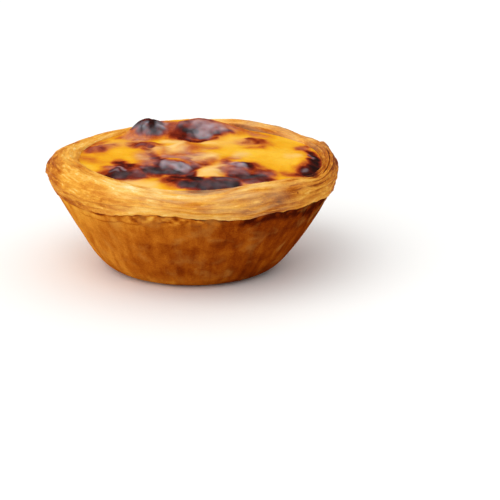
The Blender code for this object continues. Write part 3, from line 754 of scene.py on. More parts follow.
def fine_relief(length, angle, points):
    """Relief too fine for the solid: thin leaves and slivers on the rim, bubbles, flutes and a second
    leaf on the flank, grit, and the coil of the base."""
    opened = flakiness(length, angle) * around(LEAF_STRENGTH, angle)
    leaves = THIN_LEAF_STEP * opened * (thin_leaves(length, angle) - 0.5)
    leaves = leaves + SLIVER_RISE * slivers(length, angle)
    band = smooth_step(0.0, 0.03, on_band(length)) * (1.0 - smooth_step(0.9, 1.0, on_band(length)))
    bubbles = np.clip(mottled(points, (1.0, 1.5 * MM, 43), (0.5, 0.7 * MM, 44)) - 0.05, 0.0, 1.0)
    bubbling = 0.15 + 1.7 * under_ledge(length, angle) * around(BUBBLING, angle)
    flutes = rough(on_ring(angle, length * 0.12), FLUTE_WIDTH, 45)
    share = flank_share(length)
    flank = share * (1.0 - smooth_step(-0.3 * MM, 0.2 * MM, length - LEDGE_AT))
    second = np.clip(around(UNDER_LEAF, angle), 0.0, 1.0) * under_leaf(length, angle)
    coil = (length / BASE_COIL + angle / (2.0 * math.pi)) % 1.0
    under = 1.0 - smooth_step(FLAT_END - 1.0 * MM, FLAT_END + 1.0 * MM, length)
    return (
        leaves * band
        + BUBBLE_RISE * bubbles * flank * bubbling
        + UNDER_LEAF_STEP * second * flank
        + FLUTE_DEPTH * flutes * flank
        + GRIT_RISE * rough(points, GRIT_GRAIN, 46) * share
        - BASE_COIL_DEPTH * under * near(0.5, 0.12, coil)
    )


def wall_grid(lengths, angles, inset=0.0, fine=False):
    """Points of the wall's surface, one row for each length. inset moves them into the cup's hollow."""
    length, angle = np.meshgrid(lengths, angles, indexing="ij")
    along = wandered(length, angle)
    if fine:
        at_ledge = near(LEDGE_AT, LEDGE_TATTER_ZONE, length)
        along = along + LEDGE_TATTER * rough(on_ring(angle, 0.0), LEDGE_TATTER_GRAIN, 15) * at_ledge
    radius, height, out_r, out_z = WALL.at(along)
    rim = smooth_step(RIM_REACH_FROM, WIDEST[1], height)
    flank = smooth_step(BASE_CORNER[1], FLANK_MIDDLE[1], height)
    flank = flank * (1.0 - smooth_step(LEDGE[1], WIDEST[1], height))
    inside = smooth_step(WIDEST_AT, OPENING_AT, length)
    to_opening = inside * smooth_step(FLOOR_THICKNESS, OPENING[1], height)
    radius = radius + MM * around(FLANK_REACH, angle) * flank * (1.0 - inside)
    radius = radius + MM * around(RIM_REACH, angle) * rim * (1.0 - inside)
    radius = radius + MM * around(OPENING_REACH, angle) * to_opening
    crest = smooth_step(LEDGE_AT, CREST_AT, length) - smooth_step(CREST_AT, OPENING_AT, length)
    height = height + MM * around(CREST_RISE, angle) * crest
    points = np.stack([radius * np.cos(angle), radius * np.sin(angle), height], -1)
    relief = leaf_ridges(length, angle) + torn_leaves(length, angle) + lip(length, angle)
    relief = relief + FLANK_LUMP * rough(points, FLANK_LUMP_GRAIN, 1) * flank_share(length) + inset
    if fine:
        relief = relief + fine_relief(length, angle, points)
    radius = radius + out_r * relief
    height = height + out_z * relief
    return np.stack([radius * np.cos(angle), radius * np.sin(angle), height], -1)


def skin_share(points):
    """How far out each (x, y) lies, from 0 in the middle of the custard to 1 at its edge."""
    angle = np.arctan2(points[..., 1], points[..., 0])
    edge = OPENING[0] + MM * around(OPENING_REACH, angle) - FIT_GAP
    return np.clip(np.hypot(points[..., 0], points[..., 1]) / edge, 0.0, 1.0)


def skin_height(points):
    """Height of the custard's skin over each (x, y), from its level at the opening."""
    share = skin_share(points)
    height = OPENING[1] - EDGE_ROLL * smooth_step(0.86, 1.0, share)
    height = height + DOME_RISE * (1.0 - share**2)
    calm = 1.0 - smooth_step(0.8, 1.0, share)
    height = height + SKIN_WAVE * rough(flattened(points), SKIN_WAVE_GRAIN, 21) * calm
    for x, y, half_length, half_width, turn, rise in BLISTERS:
        c, s = math.cos(math.radians(turn)), math.sin(math.radians(turn))
        dx, dy = points[..., 0] / MM - x, points[..., 1] / MM - y
        reach = np.hypot((c * dx + s * dy) / half_length, (c * dy - s * dx) / half_width)
        mound = 1.0 - smooth_step(BLISTER_TOP, BLISTER_FOOT, reach)
        height = height + rise * MM * mound * (1.0 - smooth_step(0.92, 1.01, share))
    return height


def stroked(points, strokes, waver, spread=0.0, grain=3.6 * MM):
    """How deep each (x, y) lies in the strokes, 0 to 1. waver makes their edges uneven, in bumps about
    grain across, and spread widens them. Both waver and spread are in mm."""
    flat = flattened(points)
    x = flat[..., 0] / MM + waver * rough(flat, grain, 51)
    y = flat[..., 1] / MM + waver * rough(flat, grain, 53)
    deepest = np.zeros(x.shape)
    for x0, y0, x1, y1, half_width, soft, depth in strokes:
        run = np.array([x1 - x0, y1 - y0])
        along = np.clip(((x - x0) * run[0] + (y - y0) * run[1]) / (run @ run), 0.0, 1.0)
        aside, ahead = x - x0 - along * run[0], y - y0 - along * run[1]
        apart = np.maximum(np.hypot(aside, ahead), 0.01)
        fade = soft * (1.0 + FRONT_SOFTNESS * (ahead / apart) ** 2)
        share = 1.0 - smooth_step(half_width - fade, half_width + OUTWARD_FADE * fade + spread, apart)
        deepest = np.maximum(deepest, depth * share)
    return deepest


def scorched(points):
    """How far the skin has burnt, from 0, plain custard, to 1, black."""
    flat = flattened(points)
    burnt = stroked(points, SCORCHES, 0.7)
    halo = stroked(points, SCORCHES, 1.2, spread=SCORCH_HALO)
    uneven = 1.0 + 0.25 * rough(flat, 2.2 * MM, 55)
    toasted = 0.5 + mottled(flat, (1.0, 9.0 * MM, 56), (0.3, 4.0 * MM, 57))
    faint = HALO_SCORCH * halo + TOASTED_SCORCH * toasted
    return np.clip(burnt * uneven + (1.0 - burnt) * faint, 0.0, 1.0)


def skin_relief(points, scorch):
    """Relief too fine for the solid: puckered skin, small blisters where it has burnt, and creases."""
    flat = flattened(points)
    calm = 1.0 - smooth_step(0.93, 1.0, skin_share(points))
    pucker = mottled(flat, (1.0, 2.8 * MM, 61), (0.4, 1.3 * MM, 62))
    crease = smooth_step(0.6, 1.0, 1.0 - 2.0 * np.abs(rough(flat, 4.2 * MM, 63)))
    return calm * (
        PUCKER_RISE * pucker
        + SMALL_BLISTER_RISE * scorch * rough(flat, 2.4 * MM, 64)
        - CREASE_DEPTH * crease * (0.4 + 0.6 * scorch)
    )


def closed_mesh(name, rows, first, last, facts):
    """A closed mesh of rings with a point at each end. facts {name: (rows of values, first, last)}."""
    count = rows.shape[1]
    points = np.vstack([rows.reshape(-1, 3), first, last])
    start, end = len(points) - 2, len(points) - 1
    ring = np.arange(count)
    after = np.roll(ring, -1)
    faces = [(start, b, a) for a, b in zip(ring.tolist(), after.tolist())]
    for low in range(0, (len(rows) - 1) * count, count):
        quads = np.stack([ring + low, after + low, after + low + count, ring + low + count], 1)
        faces += [tuple(quad) for quad in quads.tolist()]
    top = (len(rows) - 1) * count
    faces += [(end, a + top, b + top) for a, b in zip(ring.tolist(), after.tolist())]
    mesh = bpy.data.meshes.new(name)
    mesh.from_pydata(points.tolist(), [], faces)
    for fact, (values, at_first, at_last) in facts.items():
        width = 3 if values.ndim == 3 else 1
        flat = np.concatenate([values.reshape(-1, width), [[at_first] * width], [[at_last] * width]])
        kind, slot = ("FLOAT_VECTOR", "vector") if width == 3 else ("FLOAT", "value")
        mesh.attributes.new(fact, kind, "POINT").data.foreach_set(slot, flat.ravel().astype(np.float32))
    mesh.update()
    mesh.shade_smooth()
    return mesh


def add_piece(name, mesh, material, node):
    """Links the mesh in as a piece of the tart that stands for the CAD node."""
    mesh.materials.append(material)
    piece = bpy.data.objects.new(name, mesh)
    bpy.context.scene.collection.objects.link(piece)
    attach(piece, BODY)
    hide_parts(node)
    return piece


def linear(code, alpha=1.0):
    """A colour given as sRGB hex, in the linear values that Blender works in."""
    parts = [int(code[i : i + 2], 16) / 255.0 for i in (1, 3, 5)]
    return (*[p / 12.92 if p <= 0.04045 else ((p + 0.055) / 1.055) ** 2.4 for p in parts], alpha)


def add_node(tree, kind, settings=None, values=None, links=None, stops=None):
    """Adds one node: its own settings, its inputs' plain values, what feeds them, and a ramp's stops."""
    node = tree.nodes.new(kind)
    for name, value in (settings or {}).items():
        setattr(node, name, value)
    for key, value in (values or {}).items():
        node.inputs[key].default_value = value
    for key, source in (links or {}).items():
        tree.links.new(source, node.inputs[key])
    if stops:
        ramp = node.color_ramp
        while len(ramp.elements) < len(stops):
            ramp.elements.new(1.0)
        for element, (place, code) in zip(ramp.elements, stops):
            element.position = place
            element.color = linear(code) if isinstance(code, str) else (code, code, code, 1.0)
    return node


def new_material(name):
    """A material with an empty tree but for its output and its main shader."""
    material = bpy.data.materials.new(name)
    material.use_nodes = True
    tree = material.node_tree
    tree.nodes.clear()
    shader = tree.nodes.new("ShaderNodeBsdfPrincipled")
    output = tree.nodes.new("ShaderNodeOutputMaterial")
    tree.links.new(shader.outputs["BSDF"], output.inputs["Surface"])
    return material, tree, shader


def combined(tree, operation, parts):
    """The parts added or multiplied together, one after the other."""
    total = parts[0]
    for part in parts[1:]:
        step = add_node(tree, "ShaderNodeMath", {"operation": operation}, {}, {0: total, 1: part})
        total = step.outputs["Value"]
    return total


def along_leaves(tree, lie, bumps, detail, roughness, distortion=0.0):
    """Noise that follows the lie of the leaves, which is in mm. bumps is how many it has in each mm round
    the tart, and how many up the wall."""
    round_it, up_it = bumps
    scaled = add_node(
        tree, "ShaderNodeVectorMath", {"operation": "MULTIPLY"}, {1: (round_it, round_it, up_it)},
        {0: lie.outputs["Vector"]},
    )
    soft = add_node(
        tree, "ShaderNodeTexNoise", {"noise_dimensions": "3D"},
        {"Scale": 1.0, "Detail": detail, "Roughness": roughness, "Distortion": distortion},
        {"Vector": scaled.outputs["Vector"]},
    )
    return soft.outputs["Fac"]


def swing(tree, pattern, amount):
    """What a pattern of noise adds to the value that a colour ramp reads: from -amount in its lows to amount
    in its highs.
    """
    part = add_node(
        tree, "ShaderNodeMapRange", {},
        {"From Min": 0.3, "From Max": 0.7, "To Min": -amount, "To Max": amount}, {"Value": pattern},
    )
    return part.outputs["Result"]


def baked_laminated_pastry():
    """Butter pastry, rolled and folded in leaves and baked hard in a tin: matt and brown where it lay
    against the tin, and cream on the edges of the rim's leaves, which have a thin shine of butter."""
    material, tree, shader = new_material("baked_laminated_pastry")
    browning_and_shade = add_node(tree, "ShaderNodeAttribute", {"attribute_name": "browning_and_shade"})
    lie = add_node(tree, "ShaderNodeAttribute", {"attribute_name": "lie"})
    fried = add_node(tree, "ShaderNodeAttribute", {"attribute_name": "fried"})
    place = add_node(tree, "ShaderNodeNewGeometry")

    # Streaks lie along the leaves: about 1 mm across and 8 mm long.
    streaks = along_leaves(tree, lie, (0.13, 0.8), 3.0, 0.55, 0.5)
    # Pale flecks where the edge of a leaf has dried: about 0.5 mm across and 3 mm long.
    fleck_noise = along_leaves(tree, lie, (0.34, 2.0), 2.0, 0.5, 0.5)
    flecks = add_node(
        tree, "ShaderNodeMapRange", {"interpolation_type": "SMOOTHSTEP"},
        {"From Min": 0.57, "From Max": 0.74, "To Min": 0.0, "To Max": -0.20}, {"Value": fleck_noise},
    )
    # Flutes of the flank run down the wall: about 1.5 mm across and 6 mm long.
    flutes = along_leaves(tree, lie, (0.65, 0.16), 2.0, 0.55)
    # Crumbs and torn edges of the driest leaves: 0.4 mm across and 1.4 mm long.
    crumbs = along_leaves(tree, lie, (0.7, 2.4), 3.0, 0.65, 0.4)
    # Cloudy patches, 4 mm across, where the dough was drier.
    clouds = add_node(
        tree, "ShaderNodeTexNoise", {"noise_dimensions": "3D"},
        {"Scale": 230.0, "Detail": 3.5, "Roughness": 0.6, "Distortion": 0.4},
        {"Vector": place.outputs["Position"]},
    )
    # Grit of the fried surface, 0.3 mm.
    grit = add_node(
        tree, "ShaderNodeTexNoise", {"noise_dimensions": "3D"},
        {"Scale": 3000.0, "Detail": 2.0, "Roughness": 0.6}, {"Vector": place.outputs["Position"]},
    )
    # Specks of burnt flour, about one to each square centimetre.
    specks = add_node(
        tree, "ShaderNodeTexVoronoi", {"feature": "F1"}, {"Scale": 190.0, "Randomness": 1.0},
        {"Vector": place.outputs["Position"]},
    )
    speck = add_node(
        tree, "ShaderNodeMapRange", {"interpolation_type": "SMOOTHSTEP"},
        {"From Min": 0.02, "From Max": 0.09, "To Min": 0.35, "To Max": 0.0},
        {"Value": specks.outputs["Distance"]},
    )

    # The fried flank has the flutes, and the dry rim has the streaks, flecks, crumbs and specks.
    on_flank = fried.outputs["Fac"]
    dry = add_node(tree, "ShaderNodeMath", {"operation": "SUBTRACT"}, {0: 1.0}, {1: on_flank})
    on_rim = dry.outputs["Value"]
    streaked = combined(
        tree, "ADD", (swing(tree, streaks, 0.12), flecks.outputs["Result"], swing(tree, crumbs, 0.05))
    )
    total = combined(
        tree, "ADD",
        (
            browning_and_shade.outputs["Fac"],
            combined(tree, "MULTIPLY", (streaked, on_rim)),
            combined(tree, "MULTIPLY", (swing(tree, flutes, 0.03), on_flank)),
            swing(tree, clouds.outputs["Fac"], -0.06),
            swing(tree, grit.outputs["Fac"], 0.04),
            combined(tree, "MULTIPLY", (speck.outputs["Result"], on_rim)),
        ),
    )
    crust = add_node(
        tree, "ShaderNodeValToRGB", links={"Fac": total},
        stops=(
            (0.00, "#FAE2AA"), (0.18, "#F3C468"), (0.36, "#E6A33B"), (0.52, "#D08328"),
            (0.66, "#B05E14"), (0.80, "#873907"), (0.92, "#601F05"), (1.00, "#421104"),
        ),
    )
    # Dull pale patches of the flank, about 7 mm wide and 5 mm high: partly its own tone and partly painted
    # sheen.
    dull_and_sheen_noise = along_leaves(tree, lie, (0.14, 0.2), 3.0, 0.5, 0.3)
    dull_and_sheen = add_node(
        tree, "ShaderNodeMapRange", {"interpolation_type": "SMOOTHSTEP"},
        {"From Min": 0.50, "From Max": 0.8, "To Min": 0.0, "To Max": 0.5}, {"Value": dull_and_sheen_noise},
    )
    clouded = add_node(
        tree, "ShaderNodeMix", {"data_type": "RGBA"}, {"B": linear("#BC8038")},
        {
            "Factor": combined(tree, "MULTIPLY", (dull_and_sheen.outputs["Result"], on_flank)),
            "A": crust.outputs["Color"],
        },
    )
    # Painted sheen, a pale haze of reflected light, makes the leaves of the rim paler and less yellow.
    painted_haze = add_node(tree, "ShaderNodeAttribute", {"attribute_name": "painted_haze"})
    hazed = add_node(
        tree, "ShaderNodeMix", {"data_type": "RGBA"}, {"B": linear("#E4D09A")},
        {"Factor": painted_haze.outputs["Fac"], "A": clouded.outputs["Result"]},
    )
    tree.links.new(hazed.outputs["Result"], shader.inputs["Base Color"])

    sheen = add_node(
        tree, "ShaderNodeMapRange", {}, {"From Min": 0.35, "From Max": 0.7, "To Min": 0.36, "To Max": 0.58},
        {"Value": clouds.outputs["Fac"]},
    )
    tree.links.new(sheen.outputs["Result"], shader.inputs["Roughness"])
    streak_bump = add_node(
        tree, "ShaderNodeBump", {}, {"Strength": 0.4, "Distance": 0.12 * MM}, {"Height": streaks}
    )
    crumb_bump = add_node(
        tree, "ShaderNodeBump", {}, {"Strength": 0.6, "Distance": 0.2 * MM},
        {"Height": combined(tree, "MULTIPLY", (crumbs, on_rim)), "Normal": streak_bump.outputs["Normal"]},
    )
    grit_bump = add_node(
        tree, "ShaderNodeBump", {}, {"Strength": 0.5, "Distance": 0.06 * MM},
        {"Height": grit.outputs["Fac"], "Normal": crumb_bump.outputs["Normal"]},
    )
    tree.links.new(grit_bump.outputs["Normal"], shader.inputs["Normal"])
    tree.links.new(grit_bump.outputs["Normal"], shader.inputs["Coat Normal"])
    # The shader's own shine is only a thin film of butter on the leaves of the rim. The flank went matt in
    # the tin.
    butter = add_node(tree, "ShaderNodeMath", {"operation": "MULTIPLY"}, {0: 0.10}, {1: on_rim})
    tree.links.new(butter.outputs["Value"], shader.inputs["Coat Weight"])
    shader.inputs["Coat Roughness"].default_value = 0.28
    shader.inputs["IOR"].default_value = 1.45
    shader.inputs["Specular IOR Level"].default_value = 0.0
    shader.inputs["Subsurface Weight"].default_value = 0.08
    shader.inputs["Subsurface Radius"].default_value = (1.0, 0.45, 0.15)
    shader.inputs["Subsurface Scale"].default_value = 0.6 * MM
    return material


def baked_egg_custard():
    """Egg custard with sugar, set and scorched in a very hot oven: soft and translucent yellow under a
    thin moist skin, which goes orange, red-brown and then black and glassy where the sugar burnt."""
    material, tree, shader = new_material("baked_egg_custard")
    scorch = add_node(tree, "ShaderNodeAttribute", {"attribute_name": "scorch"})
    pale = add_node(tree, "ShaderNodeAttribute", {"attribute_name": "pale"})
    painted_sheen = add_node(tree, "ShaderNodeAttribute", {"attribute_name": "painted_sheen"})
    place = add_node(tree, "ShaderNodeNewGeometry")

    # Mottling of the skin, 2 mm, and its fine grain, 0.4 mm.
    mottle = add_node(
        tree, "ShaderNodeTexNoise", {"noise_dimensions": "3D"},
        {"Scale": 500.0, "Detail": 4.0, "Roughness": 0.62, "Distortion": 0.6},
        {"Vector": place.outputs["Position"]},
    )
    grain = add_node(
        tree, "ShaderNodeTexNoise", {"noise_dimensions": "3D"},
        {"Scale": 2500.0, "Detail": 2.0, "Roughness": 0.6}, {"Vector": place.outputs["Position"]},
    )
    # Plain custard is nearly even, and scorched skin is blotched.
    blotched = add_node(
        tree, "ShaderNodeMapRange", {}, {"From Min": 0.12, "From Max": 0.5, "To Min": 0.15, "To Max": 1.0},
        {"Value": scorch.outputs["Fac"]},
    )
    blotches = combined(
        tree, "MULTIPLY", (swing(tree, mottle.outputs["Fac"], 0.10), blotched.outputs["Result"])
    )
    total = combined(
        tree, "ADD", (scorch.outputs["Fac"], blotches, swing(tree, grain.outputs["Fac"], 0.02))
    )
    skin = add_node(
        tree, "ShaderNodeValToRGB", links={"Fac": total},
        stops=(
            (0.00, "#F0B938"), (0.10, "#E8A41E"), (0.22, "#D8871C"), (0.34, "#BE6022"),
            (0.47, "#983A14"), (0.62, "#701F0D"), (0.80, "#4A150D"), (1.00, "#210F0D"),
        ),
    )
    # The pale places are partly paler custard and partly painted highlights on its mounds.
    lightened = add_node(
        tree, "ShaderNodeMix", {"data_type": "RGBA"}, {"B": linear("#F1C67C")},
        {"Factor": pale.outputs["Fac"], "A": skin.outputs["Color"]},
    )
    # The painted sheen is pinkish over the brown sugar, and a cool grey over the black.
    sheen_tint = add_node(
        tree, "ShaderNodeValToRGB", links={"Fac": scorch.outputs["Fac"]},
        stops=((0.30, "#C8927A"), (0.60, "#AC9094"), (0.90, "#96949D")),
    )
    sheened = add_node(
        tree, "ShaderNodeMix", {"data_type": "RGBA"}, {},
        {"Factor": painted_sheen.outputs["Fac"], "A": lightened.outputs["Result"], "B": sheen_tint.outputs["Color"]},
    )
    tree.links.new(sheened.outputs["Result"], shader.inputs["Base Color"])
    gloss = add_node(
        tree, "ShaderNodeMapRange", {}, {"From Min": 0.2, "From Max": 0.8, "To Min": 0.42, "To Max": 0.24},
        {"Value": total},
    )
    tree.links.new(gloss.outputs["Result"], shader.inputs["Roughness"])
    mottle_bump = add_node(
        tree, "ShaderNodeBump", {}, {"Strength": 0.6, "Distance": 1.0 * MM}, {"Height": blotches}
    )
    grain_bump = add_node(
        tree, "ShaderNodeBump", {}, {"Strength": 0.35, "Distance": 0.05 * MM},
        {"Height": grain.outputs["Fac"], "Normal": mottle_bump.outputs["Normal"]},
    )
    tree.links.new(grain_bump.outputs["Normal"], shader.inputs["Normal"])
    shader.inputs["IOR"].default_value = 1.40
    shader.inputs["Subsurface Weight"].default_value = 0.15
    shader.inputs["Subsurface Radius"].default_value = (1.0, 0.5, 0.15)
    shader.inputs["Subsurface Scale"].default_value = 1.2 * MM
    # The moist film is the coat alone, so that the dark places don't go grey where they are seen flatly.
    shader.inputs["Specular IOR Level"].default_value = 0.0
    glaze = add_node(
        tree, "ShaderNodeMapRange", {}, {"From Min": 0.0, "From Max": 0.8, "To Min": 0.03, "To Max": 0.25},
        {"Value": painted_sheen.outputs["Fac"]},
    )
    tree.links.new(glaze.outputs["Result"], shader.inputs["Coat Weight"])
    shader.inputs["Coat Roughness"].default_value = 0.16
    return material


def pastry_rows():
    """Lengths along the wall of the pastry's rows, close together where the leaves are."""
    return np.concatenate(
        [
            np.linspace(FIRST_RING, FLAT_END, BASE_ROWS),
            np.linspace(FLAT_END, CORNER_END, CORNER_ROWS)[1:],
            np.linspace(CORNER_END, LEDGE_AT - UNDER_LEDGE, FLANK_ROWS)[1:],
            np.linspace(LEDGE_AT - UNDER_LEDGE, LEDGE_AT - CREASE, UNDER_LEDGE_ROWS)[1:],
            np.linspace(LEDGE_AT, OPENING_AT, BAND_ROWS),
            np.linspace(OPENING_AT, FLOOR_END, INNER_ROWS)[1:],
        ]
    )


def broken_crack(apart, width, unevenness, seed, angle):
    """1 in the middle of a crack and less to both sides, here deep and there nearly closed."""
    depth = np.clip(0.6 + unevenness * rough(on_ring(angle, 0.0), CRACK_RUN, seed), 0.0, 1.4)
    return near(0.0, width, apart) * depth


def flank_browning_and_shade(length, angle, points):
    """Browning of the flank: mottled, paler on its bubbles, darker on its right side partly with painted
    shade, and darker under the ledge and in the cracks with painted shade.
    """
    height = points[..., 2]
    # The darker right side of the flank is partly real browning and partly painted shade.
    brown = around(FLANK_BROWNING_AND_SHADE, angle) + mottled(points, (0.04, 6.0 * MM, 71), (0.04, 2.6 * MM, 70))
    brown = brown + 0.06 * rough(on_ring(angle, length * 0.35), 2.4 * MM, 79)
    brown = brown + around(UPPER_FLANK_BROWNING, angle) * smooth_step(*UPPER_FLANK, height)
    brown = brown + around(FOOT_BROWNING, angle) * (1.0 - smooth_step(*FOOT, height))
    # Painted shade under the overhanging ledge, paler where LEDGE_SHADE is negative.
    shade = around(LEDGE_SHADE, angle) * (0.7 + 1.3 * rough(points, 2.2 * MM, 73))
    bubbles = mottled(points, (1.0, 1.5 * MM, 75), (0.5, 0.8 * MM, 76))
    bubbles = bubbles * np.clip(around(BUBBLING, angle), 0.0, 1.5)
    brown = brown + under_ledge(length, angle) * (LEDGE_SHADOW * shade - BUBBLE_PALENESS * bubbles)
    # Painted shade in the crack under the second leaf.
    gap = broken_crack(above_under_leaf(length, angle), 0.25 * MM, 1.6, 77, angle)
    second = SECOND_LEAF * under_leaf(length, angle) + UNDER_LEAF_CRACK * gap
    brown = brown + np.clip(around(UNDER_LEAF, angle), 0.0, 1.0) * second
    # Painted shade in the crack along the ledge.
    return brown + LEDGE_CRACK * broken_crack(length - LEDGE_AT + 0.15 * MM, 0.35 * MM, 1.4, 74, angle)


def leaf_crack_shade(length, angle):
    """Painted shade in the cracks between the leaves of the rim, and a little painted light on the edges of
    the thin leaves. They are faint inside the lip.
    """
    place = on_band(length)
    apart = around(LEAF_STRENGTH, angle)
    outside = 1.0 - smooth_step(*FAINT_CRACKS, place)
    leaves = thin_leaves(length, angle)
    thin = 0.04 * (0.5 - leaves) + 0.05 * (1.0 - smooth_step(0.0, 0.25, leaves))
    lined = smooth_step(1.0, 1.6, apart) * smooth_step(0.45, 0.65, place)
    lines = lined * (0.05 + THIN_LEAF_CRACK * outside * (1.0 - smooth_step(0.0, 0.45, leaves)))
    within = within_leaf(place)
    groove = 1.0 - smooth_step(0.0, 0.2, np.minimum(within, 1.0 - within))
    broken = np.clip(0.7 + 1.3 * rough(on_ring(angle, length * 4.0), 7.0 * MM, 78), 0.1, 1.3)
    main = np.clip(apart - 0.6, 0.0, 1.2) * broken * groove * (0.35 + 0.65 * outside)
    return flakiness(length, angle) * thin + lines + LEAF_CRACK * main


def rim_browning_and_shade(length, angle):
    """Browning of the rim: brown at its outer edge, darker in its cracks with painted shade, and cream along
    its crest.
    """
    place = on_band(length)
    brown = around(RIM_BROWNING, angle) + 0.20 * rough(on_ring(angle, length * 3.0), 9.0 * MM, 72)
    brown = brown + around(EDGE_BROWNING, angle) * near(*OUTER_EDGE, place)
    brown = brown + around(LOW_LEAF_BROWNING, angle) * near(*LOW_LEAF, place)
    creamy = near(around(CREAM_PLACE, angle), CREAM_WIDTH, place)
    creamy = creamy * (1.0 + 0.9 * rough(on_ring(angle, length * 2.0), 5.0 * MM, 80))
    brown = brown - around(CREST_CREAM, angle) * creamy - SLIVER_PALENESS * slivers(length, angle)
    brown = brown + around(LIP_SCORCH, angle) * smooth_step(*LIP_BEGINS, place)
    brown = brown + around(INNER_DARKENING, angle) * smooth_step(*INNER_BEGINS, place)
    return brown + leaf_crack_shade(length, angle)


def how_brown_and_shaded(length, angle, points):
    """Browning of the pastry with painted shade in it, from 0, cream, to 1, dark brown."""
    flank = flank_browning_and_shade(length, angle, points)
    rim = rim_browning_and_shade(length, angle)
    return np.clip(flank + (rim - flank) * smooth_step(*RIM_BEGINS, on_band(length)), 0.0, 1.0)


def painted_haze_amount(length, angle):
    """How much painted sheen, a pale haze of reflected light, greys the leaves of the rim, most from its
    crest inwards, and none on the flank.
    """
    place = on_band(length)
    patchy = np.clip(1.0 + 1.8 * rough(on_ring(angle, length * 5.0), 6.0 * MM, 81), 0.0, 2.0)
    higher = 0.6 + 0.4 * smooth_step(0.35, 0.65, place)
    return around(PAINTED_HAZE, angle) * smooth_step(*RIM_BEGINS, place) * higher * patchy


def make_pastry():
    """The pastry cup, with the leaves of its rim, its bubbled skin and the coil of its base."""
    angles = np.linspace(-math.pi, math.pi, PASTRY_COLUMNS, endpoint=False)
    lengths = pastry_rows()
    rows = wall_grid(lengths, angles, fine=True)
    length, angle = np.meshgrid(lengths, angles, indexing="ij")
    along = wandered(length, angle)
    # This browning holds painted shade as well: under the ledge, in the cracks and on the flank's right side.
    brown = how_brown_and_shaded(length, angle, rows)
    fried = 1.0 - smooth_step(-0.5 * MM, 0.3 * MM, length - LEDGE_AT)
    facts = {
        "browning_and_shade": (brown, brown[0, 0], brown[-1, 0]),
        "lie": (on_ring(angle, along) / MM, 0.0, 0.0),
        "fried": (fried, 1.0, 0.0),
        "painted_haze": (painted_haze_amount(length, angle), 0.0, 0.0),
    }
    mesh = closed_mesh("pastry_cup", rows, (0, 0, 0), (0, 0, FLOOR_THICKNESS), facts)
    return add_piece("pastry_cup", mesh, baked_laminated_pastry(), "pastry_shell")


def make_custard():
    """The custard with its scorched skin. It has soaked a little way into the pastry at its edge."""
    angles = np.linspace(-math.pi, math.pi, CUSTARD_COLUMNS, endpoint=False)
    side = wall_grid(np.linspace(OPENING_AT, FLOOR_END, INNER_ROWS), angles, inset=-SOAKED_IN)
    edge = side[0]
    shares = np.sin(np.linspace(0.5 * math.pi, 0.0, SKIN_RINGS, endpoint=False) * SKIN_REACH)
    top = np.array([edge * share for share in shares[1:]])
    skin = np.concatenate([edge[None], top])
    skin[..., 2] = skin_height(skin)
    scorch = scorched(skin)
    # Pale places: paler skin and painted highlights on its mounds.
    pale = stroked(skin, PALE_SKIN_AND_HIGHLIGHTS, 1.2) * (1.0 - smooth_step(0.25, 0.6, scorch))
    # Painted sheen of the glassy burnt sugar, broken up by noise.
    painted_sheen = stroked(skin, PAINTED_SHEEN_STROKES, 1.1, grain=2.2 * MM) * (0.85 + 0.7 * rough(skin, 1.8 * MM, 58))
    skin[..., 2] += skin_relief(skin, scorch)
    rows = np.concatenate([side[:0:-1], skin])
    below = np.zeros((len(side) - 1, len(angles)))
    facts = {
        "scorch": (np.concatenate([below, scorch]), 0.0, scorch[-1, 0]),
        "pale": (np.concatenate([below, pale]), 0.0, pale[-1, 0]),
        "painted_sheen": (np.concatenate([below, painted_sheen]), 0.0, painted_sheen[-1, 0]),
    }
    middle = skin[-1].mean(axis=0)
    mesh = closed_mesh("custard_filling", rows, (0, 0, FLOOR_THICKNESS + FIT_GAP), middle, facts)
    return add_piece("custard_filling", mesh, baked_egg_custard(), "custard")


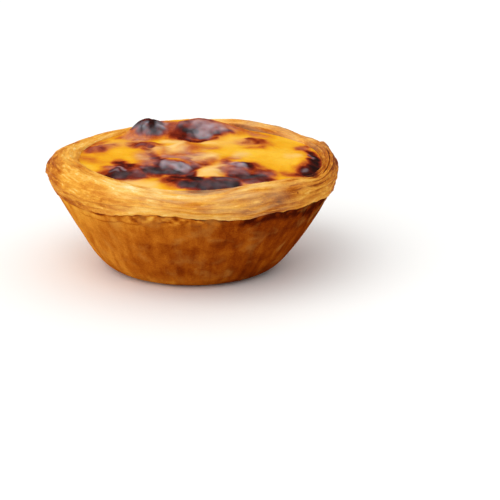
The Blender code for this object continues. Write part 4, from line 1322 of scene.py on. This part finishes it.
def make_table():
    """The pale table that the tart stands on."""
    mesh = bpy.data.meshes.new("table_top")
    corners = [(x * TABLE_REACH, y * TABLE_REACH, 0) for x, y in ((-1, -1), (1, -1), (1, 1), (-1, 1))]
    mesh.from_pydata(corners, [], [(0, 1, 2, 3)])
    material, _, shader = new_material("matt_white_laminate")
    shader.inputs["Base Color"].default_value = linear("#FAFAF8")
    shader.inputs["Roughness"].default_value = 0.7
    shader.inputs["Specular IOR Level"].default_value = 0.2
    mesh.materials.append(material)
    table = bpy.data.objects.new("table_top", mesh)
    bpy.context.scene.collection.objects.link(table)


def add_lamp(name, place, width, strength):
    """A large far softbox that shines from this side. width is how many degrees of the sky it fills."""
    lamp = bpy.data.lights.new(name, "SUN")
    lamp.angle = math.radians(width)
    lamp.energy = strength
    obj = bpy.data.objects.new(name, lamp)
    obj.location = place
    obj.rotation_euler = (-Vector(place)).to_track_quat("-Z", "Y").to_euler()
    bpy.context.scene.collection.objects.link(obj)


def light_the_table():
    """Plain soft studio light: a large lamp over the left shoulder, one above, and a pale room."""
    add_lamp("key_lamp", *KEY_LAMP)
    add_lamp("top_lamp", *TOP_LAMP)
    room = bpy.data.worlds.new("pale_room")
    room.use_nodes = True
    backdrop = room.node_tree.nodes["Background"]
    backdrop.inputs["Color"].default_value = (1.0, 1.0, 1.0, 1.0)
    backdrop.inputs["Strength"].default_value = ROOM_LIGHT
    bpy.context.scene.world = room


def set_camera():
    """The camera, in front of the tart and a little above it."""
    rise = math.radians(CAMERA_RISE)
    lens = bpy.data.cameras.new("camera")
    lens.lens = CAMERA_LENS
    lens.sensor_width = SENSOR_WIDTH
    lens.clip_start = NEAREST_SEEN
    camera = bpy.data.objects.new("camera", lens)
    bpy.context.scene.collection.objects.link(camera)
    back = Vector((0.0, -math.cos(rise), math.sin(rise)))
    camera.location = Vector(CAMERA_AIM) + back * CAMERA_DISTANCE
    straight = (-back).to_track_quat("-Z", "Y").to_matrix()
    focal = CAMERA_LENS / SENSOR_WIDTH
    yaw = math.atan2(AIM_IN_PICTURE[0] - 0.5, focal)
    pitch = math.atan2(AIM_IN_PICTURE[1] - 0.5, focal)
    turn = Matrix.Rotation(yaw, 3, "Y") @ Matrix.Rotation(pitch, 3, "X")
    camera.rotation_euler = (straight @ turn).to_euler()
    bpy.context.scene.camera = camera


set_camera()
make_pastry()
make_custard()
make_table()
light_the_table()
bpy.context.scene.view_settings.view_transform = "Standard"
